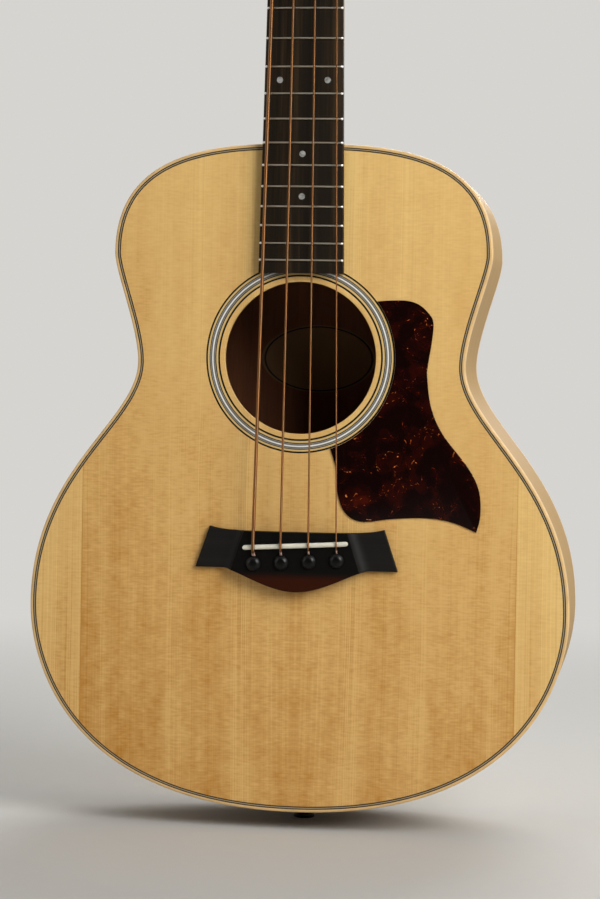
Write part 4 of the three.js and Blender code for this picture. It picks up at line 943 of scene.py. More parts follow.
@dataclass(frozen=True)
class BodyForm:
  """The body's edge, depth and places that the other parts share."""

  tail_z: float = 12.3
  length: float = 447.7
  widths: tuple = (364.6, 220.8, 254.6)  # at the lower bout, the waist and the upper bout
  width_shares: tuple = (0.304, 0.6716, 0.8361)  # where these lie along the body
  depths: tuple = (115.4, 96.0)  # of the sides, at the tail and at the neck
  back_rise: float = 9.0
  handle_shares: tuple = ((0.819, 0.345), (0.556, 0.245), (0.304, 0.18), (0.98, 0.406))
  spine_shares: tuple = (0.28, 0.8)
  steps: int = 48  # in each of the four bends of half the edge
  soundhole_share: float = 0.681
  soundhole_radius: float = 50.8
  flat_depth: float = 3.0  # a hoop less deep than this has its UV map on its face

  @property
  def front_y(self) -> float:
    """The soundboard's front."""
    return -self.depths[0] / 2

  @property
  def end_z(self) -> float:
    """The body's end at the neck."""
    return self.tail_z + self.length

  @property
  def soundhole_z(self) -> float:
    """The middle of the soundhole."""
    return self.tail_z + self.soundhole_share * self.length

  def edge(self) -> tuple[Array, Array]:
    """The edge as four cubic bends and their mirror images.

    Returns:
      Points in X and Z, anticlockwise from the tail, and the inward direction at each.
    """
    heights = self.tail_z + self.length * np.array(self.width_shares)
    lower, waist, upper = np.stack([np.array(self.widths) / 2, heights], -1)
    tail, end = np.array([0, self.tail_z]), np.array([0, self.end_z])
    (h0, h1), (h2, h3), (h4, h5), (h6, h7) = self.handle_shares

    def level(start: Array, share: float, towards: Array) -> Array:
      """Returns a handle straight up or down from start."""
      return np.array([start[0], start[1] + share * (towards[1] - start[1])])

    bends = [
        [tail, (h0 * lower[0], tail[1]), level(lower, h1, tail), lower],
        [lower, level(lower, h2, waist), level(waist, h3, lower), waist],
        [waist, level(waist, h4, upper), level(upper, h5, waist), upper],
        [upper, level(upper, h6, end), (h7 * upper[0], end[1]), end],
    ]
    right = np.concatenate([bezier(bend, self.steps + 1)[:-1] for bend in bends] + [end[None]])
    points = np.concatenate([right, right[-2:0:-1] * [-1, 1]])
    return points, inwards(points)

  def depth_at(self, z: Array) -> Array:
    """Returns the sides' depth at a height, straight from tail to neck end."""
    return self.depths[0] + (z - self.tail_z) / self.length * (self.depths[1] - self.depths[0])

  def hoop(self, section: Callable[[Array], list], finishes: Sequence[int] | None = None,
           part: slice | None = None) -> Surface:
    """Carries a section of (inset, y) pairs round the edge, each y a number or one for every point.

    Args:
      section: Gives the pairs, from the heights of the edge's points.
      finishes: The finish number of each stretch of the section.
      part: A stretch of the edge, for a piece that doesn't go all the way round.

    Returns:
      The closed hoop, its UV map running along the edge and across the section.
    """
    points, inward = (row[part or slice(None)] for row in self.edge())
    pairs = section(points[:, 1])
    rows = [space(points[:, 0] + inset * inward[:, 0], y, points[:, 1] + inset * inward[:, 1])
            for inset, y in pairs]
    steps = np.linalg.norm(np.diff(points, axis=0, append=points[:1]), axis=1)
    along = np.concatenate([[0], np.cumsum(steps)])
    insets, depths = np.array([(inset, np.mean(y)) for inset, y in pairs]).T
    across = insets if np.ptp(depths) < self.flat_depth else depths
    whole = part is None
    made = Surface.grid(np.stack(rows, axis=1), wrap_rows=whole, capped=not whole,
                        along=along if whole else along[:-1], across=np.append(across, across[0]))
    if finishes is not None:
      made.finishes = np.tile(np.asarray(finishes), len(made.quads) // len(pairs))
    return made


@dataclass(frozen=True)
class Body:
  """Soundboard, rosette, purfling, bindings, sides, back and label."""

  form: BodyForm = field(default_factory=BodyForm)
  board_thickness: float = 2.8
  back_thickness: float = 2.8
  side_thickness: float = 2.3
  binding_width: float = 2.0
  binding_depth: float = 5.5
  binding_round: float = 1.1
  purfling_end: float = 4.1
  purfling_depth: float = 1.4
  rosette_depth: float = 1.2
  hole_round: float = 0.5
  label_half: tuple = (40.5, 23.9)
  label_lift: tuple = (0.1, 0.4)  # of its two faces off the back's inside

  def build(self) -> None:
    """Builds and dresses the body's pieces."""
    self.soundboard()
    self.rosette()
    self.trim()
    self.sides()
    self.back()
    self.label()

  def soundboard(self) -> None:
    """Rows of rings between the edge and the soundhole, each point on the straight line from the middle of
    the hole to a point of the edge: front, rosette's groove, rounded rim of the hole, and back."""
    form = self.form
    points, inward = form.edge()
    outer = points + self.purfling_end * inward
    middle = np.array([0, form.soundhole_z])
    ray = (outer - middle) / np.linalg.norm(outer - middle, axis=1, keepdims=True)
    front, hole = form.front_y, form.soundhole_radius
    floor, back = front + self.rosette_depth, front + self.board_thickness

    def ring(radius: float, y: float, share: float = 0.0) -> Array:
      """Returns a circle, or a ring between it and the edge."""
      flat = (middle + radius * ray) * (1 - share) + outer * share
      return space(flat[:, 0], y, flat[:, 1])

    near, far = ROSETTE.start_mm, ROSETTE.end_mm
    face = [ring(far, front, share) for share in np.linspace(1, 0, 9)]
    groove = [ring(far, floor), ring(near, floor), ring(near, front)]
    rim = [ring(hole + inset, front + deep) for inset, deep in rounding(self.hole_round, 6)]
    under = [ring(hole, back, share) for share in (0.0, 0.5, 1.0)]
    made = Surface.grid(np.stack([*face, *groove, *rim, *under]), wrap_rows=True)
    made.build("soundboard_spruce", [SPRUCE], ["soundboard"])

  def rosette(self) -> None:
    """A flat ring about the soundhole: radius and depth at each of its four corners."""
    front, middle = self.form.front_y, self.form.soundhole_z
    near, far, floor = ROSETTE.start_mm, ROSETTE.end_mm, front + self.rosette_depth
    radius, depth = np.array([(near, front), (far, front), (far, floor), (near, floor)]).T
    angle = circle(288)[:, None]
    rows = space(radius * np.cos(angle), depth, middle + radius * np.sin(angle))
    finish = replace(ROSETTE, centre_mm=(0.0, middle))
    Surface.grid(rows, wrap_rows=True).build("rosette_rings", [finish], ["rosette"])

  def trim(self) -> None:
    """Binding and purfling hoops: the binding's outer corner is a quarter circle."""
    form, width, end = self.form, self.binding_width, self.purfling_end
    front, floor = form.front_y, form.front_y + self.purfling_depth

    def bound(rim: float | Array, way: int) -> list:
      """Returns the section from the purfling over the rounded corner and along the side."""
      corner = [(inset, rim + way * deep) for inset, deep in rounding(self.binding_round, 7)]
      low = rim + way * self.binding_depth
      return [(width, rim), *corner, (0.0, low), (width, low)]

    hoops = {
        "binding_front": (BINDING, "top_binding", lambda z: bound(front, 1)),
        "binding_back": (BINDING, "back_binding", lambda z: bound(front + form.depth_at(z), -1)),
        "purfling_front": (PURFLING, "top_purfling",
                           lambda z: [(width, front), (width, floor), (end, floor), (end, front)]),
    }
    for name, (finish, node, section) in hoops.items():
      form.hoop(section).build(name, [finish], [node])

  def sides(self) -> None:
    """Two bent sides between the bindings, veneered brown on the inside."""
    form = self.form

    def section(z: Array) -> list:
      """Returns the side's wall from binding to binding."""
      near = form.front_y + self.binding_depth
      far = form.front_y + form.depth_at(z) - self.binding_depth
      return [(0.0, near), (0.0, far), (self.side_thickness, far), (self.side_thickness, near)]

    middle = 4 * form.steps
    for name, part in (("side_treble", slice(0, middle + 1)), ("side_bass", slice(middle, 2 * middle))):
      made = form.hoop(section, finishes=[0, 0, 1, 0], part=part)
      made.build(name + "_maple", [MAPLE_SIDE_SHADED, INNER_VENEER], [name])

  def back(self) -> None:
    """The arched back: maple outside, brown veneer inside. Its height over the sides is the rise times one
    less the square of the share of the way from its ridge to its rim."""
    form = self.form
    points, inward = form.edge()
    rim = points + self.binding_width * inward
    low, high = (form.tail_z + share * form.length for share in form.spine_shares)
    ridge = np.clip(points[:, 1], low, high)

    def ring(share: float, offset: float) -> Array:
      """Returns the ring at a share of the way from ridge to rim."""
      z = ridge + share * (rim[:, 1] - ridge)
      arch = form.back_rise * (1 - share ** 2) + offset
      return space(rim[:, 0] * share, form.front_y + form.depth_at(z) + arch, z)

    shares = np.linspace(0, 1, 21)
    rows = [ring(share, 0.0) for share in shares]
    rows += [ring(share, -self.back_thickness) for share in shares[::-1]]
    finishes = np.repeat([0, 1], [len(shares), len(shares) - 1])
    made = Surface.grid(np.stack(rows), finishes=finishes)
    made.build("back_maple", [MAPLE_BACK, INNER_VENEER], ["back_plate"])

  def label(self) -> None:
    """An oval of paper on the inside of the back: rings at shares of its half width and half height."""
    form, (half_x, half_z) = self.form, self.label_half
    low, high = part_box("soundhole_label")
    middle_x, _, middle_z = ((np.array(low) + np.array(high)) / 2 / MM).tolist()
    angle = circle(96)
    edge_x, edge_z = form.edge()[0][: 4 * form.steps].T

    def ring(share: float, lift: float) -> Array:
      """Returns points of the oval, as high as the back's inner face there."""
      x = middle_x + share * half_x * np.cos(angle)
      z = middle_z + share * half_z * np.sin(angle)
      arch = form.back_rise * (1 - (np.abs(x) / np.interp(z, edge_z, edge_x)) ** 2)
      return space(x, form.front_y + form.depth_at(z) + arch - self.back_thickness - lift, z)

    shares, (near, far) = np.linspace(0, 1, 7), self.label_lift
    rows = [ring(share, near) for share in shares] + [ring(share, far) for share in shares[::-1]]
    finish = replace(LABEL_PAPER, centre_mm=(middle_x, middle_z), scale=(1 / half_x, 1 / half_z))
    Surface.grid(np.stack(rows)).build("label_oval", [finish], ["soundhole_label"])


@dataclass(frozen=True)
class Pickguard:
  """The guard beside the soundhole. Its places are shares of the rosette's radius from the hole's middle."""

  form: BodyForm = field(default_factory=BodyForm)
  gap: float = 0.2
  thickness: float = 0.9
  edge: float = 0.35
  arc_degrees: tuple = (-70.5, 36.9)
  outer_shares: tuple = (
      (0.969, 0.615), (1.124, 0.612), (1.246, 0.571), (1.342, 0.487), (1.394, 0.392), (1.383, 0.193),
      (1.344, -0.066), (1.342, -0.203), (1.388, -0.496), (1.513, -0.771), (1.779, -1.108), (1.901, -1.347),
      (1.921, -1.606), (1.882, -1.788))
  lower_shares: tuple = (
      (1.636, -1.691), (1.356, -1.65), (0.992, -1.667), (0.68, -1.703), (0.504, -1.615), (0.421, -1.418),
      (0.399, -1.157))

  def build(self) -> None:
    """Builds a thin slab: an arc round the rosette and two smooth curves that meet in the tip."""
    angle = np.radians(np.linspace(*self.arc_degrees, 60))
    unit, front = ROSETTE.end_mm, self.form.front_y
    arc = (unit + self.gap) / unit * np.stack([np.cos(angle), np.sin(angle)], -1)
    outer = spline(np.array([arc[-1], *self.outer_shares]), 8)
    lower = spline(np.array([self.outer_shares[-1], *self.lower_shares, arc[0]]), 8)
    outline = np.concatenate([arc, outer[1:], lower[1:-1]]) * unit + [0, self.form.soundhole_z]
    made = slab(outline, front - self.thickness, front - SKIN, self.edge)
    made.build("pickguard_tortoise", [TORTOISE], ["pickguard"])


# The bridge


@dataclass(frozen=True)
class Bridge:
  """Bridge, saddle and pins."""

  form: BodyForm = field(default_factory=BodyForm)
  height: float = 8.8
  wing_height: float = 3.8
  top_half: float = 58.8
  bottom_half: float = 68.2
  length: float = 39.9
  top_above: float = 8.8
  horn_rise: float = 2.9
  wing_length: float = 24.8
  belly: tuple = (50.0, 40.0, 20.0)
  horn_handles: tuple = (36.0, 50.0)
  step_top: float = 34.7
  step_bottom: float = 43.3
  scoop: tuple = (2.0, 9.0)  # its curve's handle and its length
  edge: float = 0.5
  saddle_length: float = 71.0
  saddle_thickness: float = 3.2
  saddle_height: float = 12.0
  saddle_floor: float = 3.6
  saddle_crown: float = 0.4  # how far its top rises from edge to middle, as a share of its thickness
  compensation: float = 4.1
  string_spread: float = 55.9
  cut_past: float = 5.0
  cut_gaps: tuple = (0.2, 0.25)  # round a pin and round a string
  pin_setback: float = 10.9
  pin_radius: float = 3.1
  pin_tip_radius: float = 2.3
  pin_head_radius: float = 4.95
  pin_head_rise: float = 2.6
  pin_lift: float = 0.35
  pin_rim: float = 0.9
  pin_slots: tuple = (1.3, 0.95, 0.8, 0.7)  # half the groove's width, string by string
  pin_slot_share: float = 0.62  # of the radius, at the groove's floor
  pin_length: float = 21.5
  board_curve: float = 381.0
  nut_z: float = 791.0
  scale_length: float = 596.9

  @property
  def saddle_z(self) -> float:
    """The middle of the saddle."""
    return self.nut_z - self.scale_length - self.compensation / 2

  @property
  def slant(self) -> float:
    """How far the saddle moves towards the nut for each millimetre towards the treble side."""
    return self.compensation / self.saddle_length

  @property
  def string_x(self) -> Array:
    """Where the strings cross the saddle."""
    return (np.arange(4) / 3 - 0.5) * self.string_spread

  def build(self, strings: "Strings") -> None:
    """Builds bridge, saddle and pins.

    Args:
      strings: The strings, whose ramps are cut behind the saddle.
    """
    self.blank(strings)
    self.saddle()
    self.pins()

  def plan(self) -> tuple[Array, ...]:
    """Lays the sections out from end to end. A wing's height falls from the step by a quadratic curve.

    Returns:
      For each section: X and Z at the upper edge, X and Z at the lower edge, height, and whether it lies
      past the step.
    """
    top_z = self.saddle_z + self.top_above
    wing_z, belly_z = top_z - self.wing_length, top_z - self.length
    flat, handle = self.horn_handles
    upper = bezier([(0, top_z), (flat, top_z), (handle, top_z), (self.top_half, top_z + self.horn_rise)], 60)
    start, middle, foot = self.belly
    lower = bezier([(0, belly_z), (foot, belly_z), (middle, wing_z), (start, wing_z)], 60)
    lower = np.concatenate([lower, [[self.bottom_half, wing_z]]])
    inner, outer = np.linspace(0, 1, 40), np.linspace(0, 1, 30)[1:]
    margin = 1 - self.edge / self.bottom_half

    def spread(step: float, half: float) -> Array:
      """Returns places from the middle past the step to the end, with one more just before the end."""
      places = np.concatenate([inner * step, step + outer * (half - step)])
      return np.insert(places, -1, places[-1] * margin)

    top_x, low_x = spread(self.step_top, self.top_half), spread(self.step_bottom, self.bottom_half)
    past = np.insert(np.concatenate([inner * 0 - 1, outer]), -1, 1.0)
    reach = past * (self.bottom_half - self.step_bottom + self.top_half - self.step_top) / 2
    handle, end = self.scoop
    curve = bezier([(0, self.height), (handle, self.wing_height), (end, self.wing_height)], 40)
    high = np.where(past < 0, self.height, np.interp(reach, *curve.T))
    high[-1] -= self.edge
    both = [np.concatenate([sign * half[:0:-1], half])
            for sign, half in ((-1, top_x), (-1, low_x), (1, high), (1, past))]
    top_x, low_x, high, past = both
    top, low = np.interp(np.abs(top_x), *upper.T), np.interp(np.abs(low_x), *lower.T)
    return top_x, top, low_x, low, high, past > 0

  def blank(self, strings: "Strings") -> None:
    """The bridge as sections across it. Each runs along a straight line between the upper and the lower edge,
    up over the front, whose rims are quarter circles, and down again.

    Args:
      strings: The strings, whose ramps are cut behind the saddle.
    """
    top_x, top_z, low_x, low_z, high, past = self.plan()
    span = np.hypot(top_x - low_x, top_z - low_z)
    rim = [(deep, -inset) for inset, deep in rounding(self.edge, 5)]
    inset = self.edge / span
    shares, heights = [0 * span], [0 * high]
    shares += [drawn / span for drawn, _ in rim]
    heights += [high + lift for _, lift in rim]
    face = np.linspace(0, 1, 22)[1:-1]
    shares += [inset + share * (1 - 2 * inset) for share in face]
    heights += [high] * len(face)
    shares += [1 - drawn / span for drawn, _ in rim[::-1]] + [0 * span + 1]
    heights += [high + lift for _, lift in rim[::-1]] + [0 * high]
    share, lift = np.stack(shares, 1), np.stack(heights, 1)
    x = top_x[:, None] * (1 - share) + low_x[:, None] * share
    z = top_z[:, None] * (1 - share) + low_z[:, None] * share
    made = Surface.grid(space(x, self.form.front_y - SKIN - lift, z), capped=True,
                        finishes=(past[1:] | past[:-1]).astype(int))
    made.build("bridge_ebony", [BRIDGE_EBONY, BRIDGE_WING], ["bridge"], cutter=self.cutters(strings))

  def cutters(self, strings: "Strings") -> Surface:
    """Makes the pin holes and the strings' ramps.

    Args:
      strings: The strings.

    Returns:
      What is taken out of the bridge.
    """
    round_pin, round_string = self.cut_gaps
    radius = self.pin_radius + round_pin
    low, high = self.form.front_y - self.height - self.cut_past, self.form.front_y + self.cut_past
    hole = turned(np.array([(0, low), (radius, low), (radius, high), (0, high)]), 32)
    parts = []
    for name, x in zip(STRINGS, self.string_x):
      parts.append(hole.placed(shift(x, 0, self.pin_z(x))))
      ramp = strings.route(name, self)[:3 * strings.bend_steps + 6]
      parts.append(tube(ramp, strings.diameters[name] / 2 + round_string, 12))
    return Surface.joined(parts)

  def pin_z(self, x: float) -> float:
    """Returns the height of a pin at a place across the bridge."""
    return self.saddle_z + x * self.slant - self.pin_setback

  def saddle(self) -> None:
    """A bar with half-round ends and a rounded, crowned top: sections across it along its length."""
    half, thick = self.saddle_length / 2, self.saddle_thickness / 2
    x = half * np.sin(np.linspace(-math.pi / 2, math.pi / 2, 81))[1:-1, None]
    inside = np.clip((np.abs(x) - half + thick) / thick, 0, 0.999)
    width = thick * np.sqrt(1 - inside ** 2)
    around = np.linspace(0, math.pi, 13)
    across = np.concatenate([[1], np.cos(around), [-1]])
    dome = 2 * thick * self.saddle_crown * (np.sin(around) - 1)
    top = self.saddle_height - x ** 2 / 2 / self.board_curve + dome
    high = np.pad(top, ((0, 0), (1, 1)), constant_values=self.saddle_floor)
    rows = space(x, self.form.front_y - high, self.saddle_z + self.slant * x + width * across)
    Surface.grid(rows, capped=True).build("saddle_white", [BONE], ["saddle"])

  def pins(self) -> None:
    """Pins turned about their own axis: flat head with a sloping rim, and a tapered shank with a groove."""
    collar = self.form.front_y - self.height - self.pin_lift
    head, shank, tip = self.pin_head_radius, self.pin_radius, collar + self.pin_length
    crown = collar - 0.5 - self.pin_head_rise
    profile = np.concatenate([
        filleted([(0, crown, 0), (head * 0.6, crown + 0.3, 1.2), (head, collar - self.pin_rim, 0.6),
                  (head, collar, 0.3), (shank, collar, 0.2), (shank, collar + 1.2, 0)]),
        filleted([(shank, collar + 1.6, 0), (self.pin_tip_radius, tip, 0.8), (0.0, tip, 0)]),
    ])
    angle, radius, place = circle(64), profile[:, :1], profile[:, 1:]
    floor = radius * np.where(place > collar + 1.4, self.pin_slot_share, 1.0)
    sunk = np.minimum(radius, floor / np.maximum(np.sin(angle), 0.3))
    for name, x, slot_half in zip(STRINGS, self.string_x, self.pin_slots):
      in_slot = (np.abs(np.cos(angle)) * radius < slot_half) & (np.sin(angle) > 0)
      reach = np.where(in_slot, sunk, radius)
      rows = space(x + reach * np.cos(angle), place, self.pin_z(x) + reach * np.sin(angle))
      Surface.grid(rows).build("pin_" + name, [BLACK_PLASTIC], ["bridge_pin_" + name], "pin_" + name)


# Neck and headstock


@dataclass(frozen=True)
class Neck:
  """Shaft, heel, headstock, fingerboard, frets, dots, nut and truss rod cover."""

  form: BodyForm = field(default_factory=BodyForm)
  scale_length: float = 596.9
  join_fret: int = 14
  fret_count: int = 20
  nut_width: float = 42.86
  nut_thickness: float = 4.5
  nut_height: float = 8.2
  nut_edge: float = 0.6
  nut_slot_gap: float = 0.08
  board_end_width: float = 57.0
  overhang: float = 86.5
  board_thickness: float = 5.8
  board_curve: float = 381.0
  board_edge: float = 0.45
  board_gap: float = 0.05
  fret_height: float = 1.0
  fret_width: float = 1.3
  fret_ball: float = 1.5  # how long a fret's rounded end is, over its height
  fret_swell: float = 1.4  # how much wider that end is
  fret_root: float = 0.5
  depth_nut: float = 15.5
  depth_heel: float = 17.0
  roundness: float = 2.3
  heel_depth: float = 84.0
  heel_roundness: float = 3.6
  heel_taper: float = 0.5
  heel_reach: float = 78.0
  heel_cap: float = 7.0
  head_tilt: float = 15.0
  head_length: float = 155.5
  head_thickness: float = 14.0
  head_roundness: float = 9.0
  head_shoulder: float = 39.0
  head_tip: float = 35.5
  head_stretch: tuple = (45.0, 144.0)  # where its straight sides start and end
  flare: tuple = (5.0, 40.0)
  corner: float = 11.0
  volute_depth: float = 18.0
  volute_pull: float = 9.0
  scarf_depth: float = 15.0
  soft_degrees: float = 50.0  # the maple's edges that bend less than this look smooth
  veneer: float = 1.5
  veneer_edge: float = 0.35
  veneer_gap: float = 0.1
  dot_radius: float = 2.1
  dot_frets: tuple = (3, 5, 7, 9, 15, 17)
  double_dot: tuple = (12, 16.0)
  side_dots: tuple = (3.2, 3.0, 0.45)  # their depth, half the twelfth fret's spacing, and their size
  cover: tuple = (11.0, 4.0, 3.0, 38.0, 1.2)
  cover_edge: float = 0.3
  cover_screws: tuple = (1.9, 4.0)  # their radius, and how far from the ends they sit

  @property
  def nut_z(self) -> float:
    """The nut's face towards the body."""
    return self.form.end_z + self.fret_distance(self.join_fret)

  @property
  def nut_end_z(self) -> float:
    """The nut's face towards the headstock."""
    return self.nut_z + self.nut_thickness

  @property
  def board_end_z(self) -> float:
    """The fingerboard's end over the soundboard."""
    return self.form.end_z - self.overhang

  @property
  def board_top(self) -> float:
    """The fingerboard's crest."""
    return self.form.front_y - GAP - self.board_thickness

  @property
  def head(self) -> Array:
    """The headstock's frame: its origin where the nut ends, tilted back."""
    return shift(0, self.form.front_y, self.nut_end_z) @ spin("X", -self.head_tilt)

  def fret_distance(self, fret: float) -> float:
    """Returns a fret's distance from the nut by the twelfth root of two."""
    return self.scale_length * (1 - 2 ** (-fret / 12))

  def half_width(self, z: Array) -> Array:
    """Returns half the board's width, straight from nut to end."""
    share = (self.nut_z - z) / (self.nut_z - self.board_end_z)
    return (self.nut_width + share * (self.board_end_width - self.nut_width)) / 2

  def bow(self, x: Array) -> Array:
    """Returns how far the board's curve falls at a place across it, by the square law."""
    return x ** 2 / 2 / self.board_curve

  def build(self, strings: "Strings", bridge: Bridge) -> None:
    """Builds and dresses the neck's pieces.

    Args:
      strings: The strings that lie in the nut's slots.
      bridge: The bridge that they come from.
    """
    self.shaft_and_headstock()
    self.overlay()
    self.board()
    self.frets()
    self.dots()
    self.truss_cover()
    self.nut(strings, bridge)

  def head_half(self, place: Array) -> Array:
    """Gives the headstock's shape: a smooth flare, a straight taper and quarter-round corners at the end.

    Args:
      place: Places along it.

    Returns:
      Half its width there.
    """
    start, end = self.flare
    share = np.clip((place - start) / (end - start), 0, 1)
    flared = self.nut_width / 2 + (self.head_shoulder - self.nut_width / 2) * share ** 2 * (3 - 2 * share)
    taper = np.clip((place - end) / (self.head_length - end), 0, 1)
    into = np.clip(place - self.head_length + self.corner, 0, self.corner)
    rounded = self.corner - np.sqrt(self.corner ** 2 - into ** 2)
    return flared - taper * (self.head_shoulder - self.head_tip) - rounded

  def head_places(self, start: float, counts: tuple[int, int, int]) -> Array:
    """Lists places along the headstock, close where it is curved.

    Args:
      start: The first place.
      counts: How many lie on the flare, the straight sides and the rounded corners.

    Returns:
      The places.
    """
    low, high = self.head_stretch
    bend = np.radians(np.linspace(2, 89, counts[2]))
    return np.concatenate([np.linspace(start, low, counts[0]), np.linspace(low, high, counts[1])[1:],
                           self.head_length - self.corner * (1 - np.sin(bend))])

  def section(self, half: float, depth: float, power: float, taper: float = 0.0) -> Array:
    """Half of a superellipse: flat in front and round behind.

    Args:
      half: Half its width.
      depth: Its depth.
      power: The superellipse's power: 2 is an ellipse, and more is squarer.
      taper: How far its bottom is drawn in, as a share.

    Returns:
      Its points.
    """
    angle = np.linspace(0, math.pi, 49)
    across = np.sign(np.cos(angle)) * np.abs(np.cos(angle)) ** (2 / power)
    down = np.sin(angle) ** (2 / power)
    return space(half * across * (1 - taper * down), depth * down, 0)

  def loft(self) -> Surface:
    """One skin from heel to tip, through a swelling behind the nut.

    Returns:
      The skin.
    """
    rings = []
    start, end = self.form.end_z + GAP, self.nut_end_z - self.volute_pull
    for share in np.concatenate([np.linspace(0, 0.3, 40), np.linspace(0.3, 1, 30)[1:]]):
      z = start + share * (end - start)
      sweep = np.clip((z - start - self.heel_cap) / (self.heel_reach - self.heel_cap), 0, 1)
      heel = (1 - sweep) ** 3
      shaft = self.depth_heel + share * (self.depth_nut - self.depth_heel)
      power = self.roundness + (self.heel_roundness - self.roundness) * math.sqrt(heel)
      flat = self.section(self.half_width(z), shaft + heel * (self.heel_depth - shaft), power,
                          self.heel_taper * math.sqrt(heel))
      rings.append(flat + [0, self.form.front_y, z])
    head = []
    for place in self.head_places(self.volute_pull, (16, 8, 16)):
      flat = self.section(float(self.head_half(place)), self.head_thickness, self.head_roundness)
      head.append((flat + [0, 0, place]) @ self.head[:3, :3].T + self.head[:3, 3])
    middle = self.section(self.nut_width / 2, self.volute_depth, (self.roundness + self.head_roundness) / 2)
    middle = middle @ spin("X", -self.head_tilt / 2)[:3, :3].T + [0, self.form.front_y, self.nut_end_z]
    blend = [(1 - t) ** 2 * rings[-1] + 2 * t * (1 - t) * middle + t ** 2 * head[0]
             for t in np.linspace(0, 1, 9)[1:-1]]
    return Surface.grid(np.stack([*rings, *blend, *head]), capped=True)

  def shaft_and_headstock(self) -> None:
    """The loft, split on the scarf joint's plane, which is parallel to the head's face."""
    whole, head = self.loft(), self.head
    normal = Vector(head[:3, 1])
    point = Vector((head @ [0, self.scarf_depth, 0, 1])[:3]) * MM
    for name, keep_below in (("headstock", True), ("neck", False)):
      piece = whole.mesh(name + "_maple", [MAPLE_NECK])
      work = bmesh.new()
      work.from_mesh(piece.data)
      everything = [*work.verts, *work.edges, *work.faces]
      split = bmesh.ops.bisect_plane(work, geom=everything, plane_co=point, plane_no=normal,
                                     clear_outer=keep_below, clear_inner=not keep_below)
      rim = [item for item in split["geom_cut"] if isinstance(item, bmesh.types.BMEdge)]
      bmesh.ops.holes_fill(work, edges=rim, sides=0)
      bmesh.ops.recalc_face_normals(work, faces=work.faces)
      work.to_mesh(piece.data)
      work.free()
      piece.data.set_sharp_from_angle(angle=math.radians(self.soft_degrees))
      dress(piece, [name])

  def overlay(self) -> None:
    """The headstock's black face: a slab with the headstock's own outline."""
    places = self.head_places(0.4, (24, 6, 20))
    right = np.stack([self.head_half(places), places], -1)
    outline = np.concatenate([right, right[::-1] * [-1, 1]])
    made = slab(outline, -self.veneer_gap - self.veneer, -SKIN, self.veneer_edge).placed(self.head)
    made.build("headstock_overlay", [EBONY], ["headstock_veneer"])

  def board(self) -> None:
    """The fingerboard as sections along the neck, each with a top that is an arc of the board's curve."""
    z = np.linspace(self.board_end_z, self.nut_z - self.board_gap, 24)[:, None]
    share = np.linspace(-1, 1, 25)
    half, soft = self.half_width(z), self.board_edge
    base = np.full_like(half, self.form.front_y - self.board_gap)
    edge = self.board_top + self.bow(half) + soft
    x = np.concatenate([-half, -half, (half - soft) * share, half, half], 1)
    y = np.concatenate([base, edge, self.board_top + self.bow(half * share), edge, base], 1)
    Surface.grid(space(x, y, z), capped=True).build("fingerboard_ebony", [EBONY], ["fingerboard"])

  def nut(self, strings: "Strings", bridge: Bridge) -> None:
    """A bar with rounded edges and a crowned top, with a slot for each string.

    Args:
      strings: The strings that lie in the slots.
      bridge: The bridge that they come from.
    """
    edge, end, top, base = self.nut_edge, self.nut_thickness, self.nut_height - GAP, self.form.front_y - GAP
    outline = filleted([(end / 2, 0, 0), (end, 0, edge), (end, top, edge), (0, top, edge), (0, 0, edge),
                        (end / 2, 0, 0)])[:-1]
    half = self.nut_width / 2
    upright = np.array([[0, 1, 0, 0], [0, 0, -1, base], [1, 0, 0, self.nut_z], [0, 0, 0, 1]])
    bar = slab(outline, -half, half, edge / 2, both=True).placed(upright)
    x, y = bar.points[:, 0], bar.points[:, 1]
    bar.points[:, 1] = y + self.bow(x) * (base - y) / top
    reach = slice(3 * strings.bend_steps + 1, 4 * strings.bend_steps + 6)
    slots = [tube(strings.route(name, bridge)[reach], strings.diameters[name] / 2 + self.nut_slot_gap, 16)
             for name in STRINGS]
    bar.build("nut_white", [BONE], ["nut"], cutter=Surface.joined(slots))

  def frets(self) -> None:
    """Fret wire: half an ellipse carried across the board, its ends rounded like balls and given a near-white
    finish that paints their glint.
    """
    around, bend = np.linspace(0, math.pi, 11), np.linspace(0, math.pi / 2, 6)
    ball, root = self.fret_height * self.fret_ball, -self.fret_root
    lift = np.concatenate([[root], self.fret_height * np.sin(around), [root]])
    wide = self.fret_width / 2 * np.concatenate([[1], np.cos(around), [-1]])
    slope = np.concatenate([np.ones(7), np.maximum(np.cos(bend), 0.05)])
    slope = np.concatenate([slope[:0:-1], slope])[:, None]
    swell = np.where(slope < 1, self.fret_swell, 1) * np.maximum(slope, 0.7)
    parts = []
    for fret in range(1, self.fret_count + 1):
      z = self.nut_z - self.fret_distance(fret)
      half = float(self.half_width(z)) + self.board_gap - ball
      right = np.concatenate([np.linspace(0, half, 8)[:-1], half + ball * np.sin(bend)])
      x = np.concatenate([-right[:0:-1], right])[:, None]
      y = self.board_top + self.bow(x) - np.where(lift > 0, lift * slope, lift)
      rounded = len(bend) - 1
      # The rounded ends take the second finish: a painted glint.
      ends = np.repeat([1, 0, 1], [rounded, len(x) - 1 - 2 * rounded, rounded])
      parts.append(Surface.grid(space(x, y, z + wide * swell), capped=True, finishes=ends))
    Surface.joined(parts).build("frets_nickel_silver", [NICKEL_SILVER, FRET_END_GLINT])

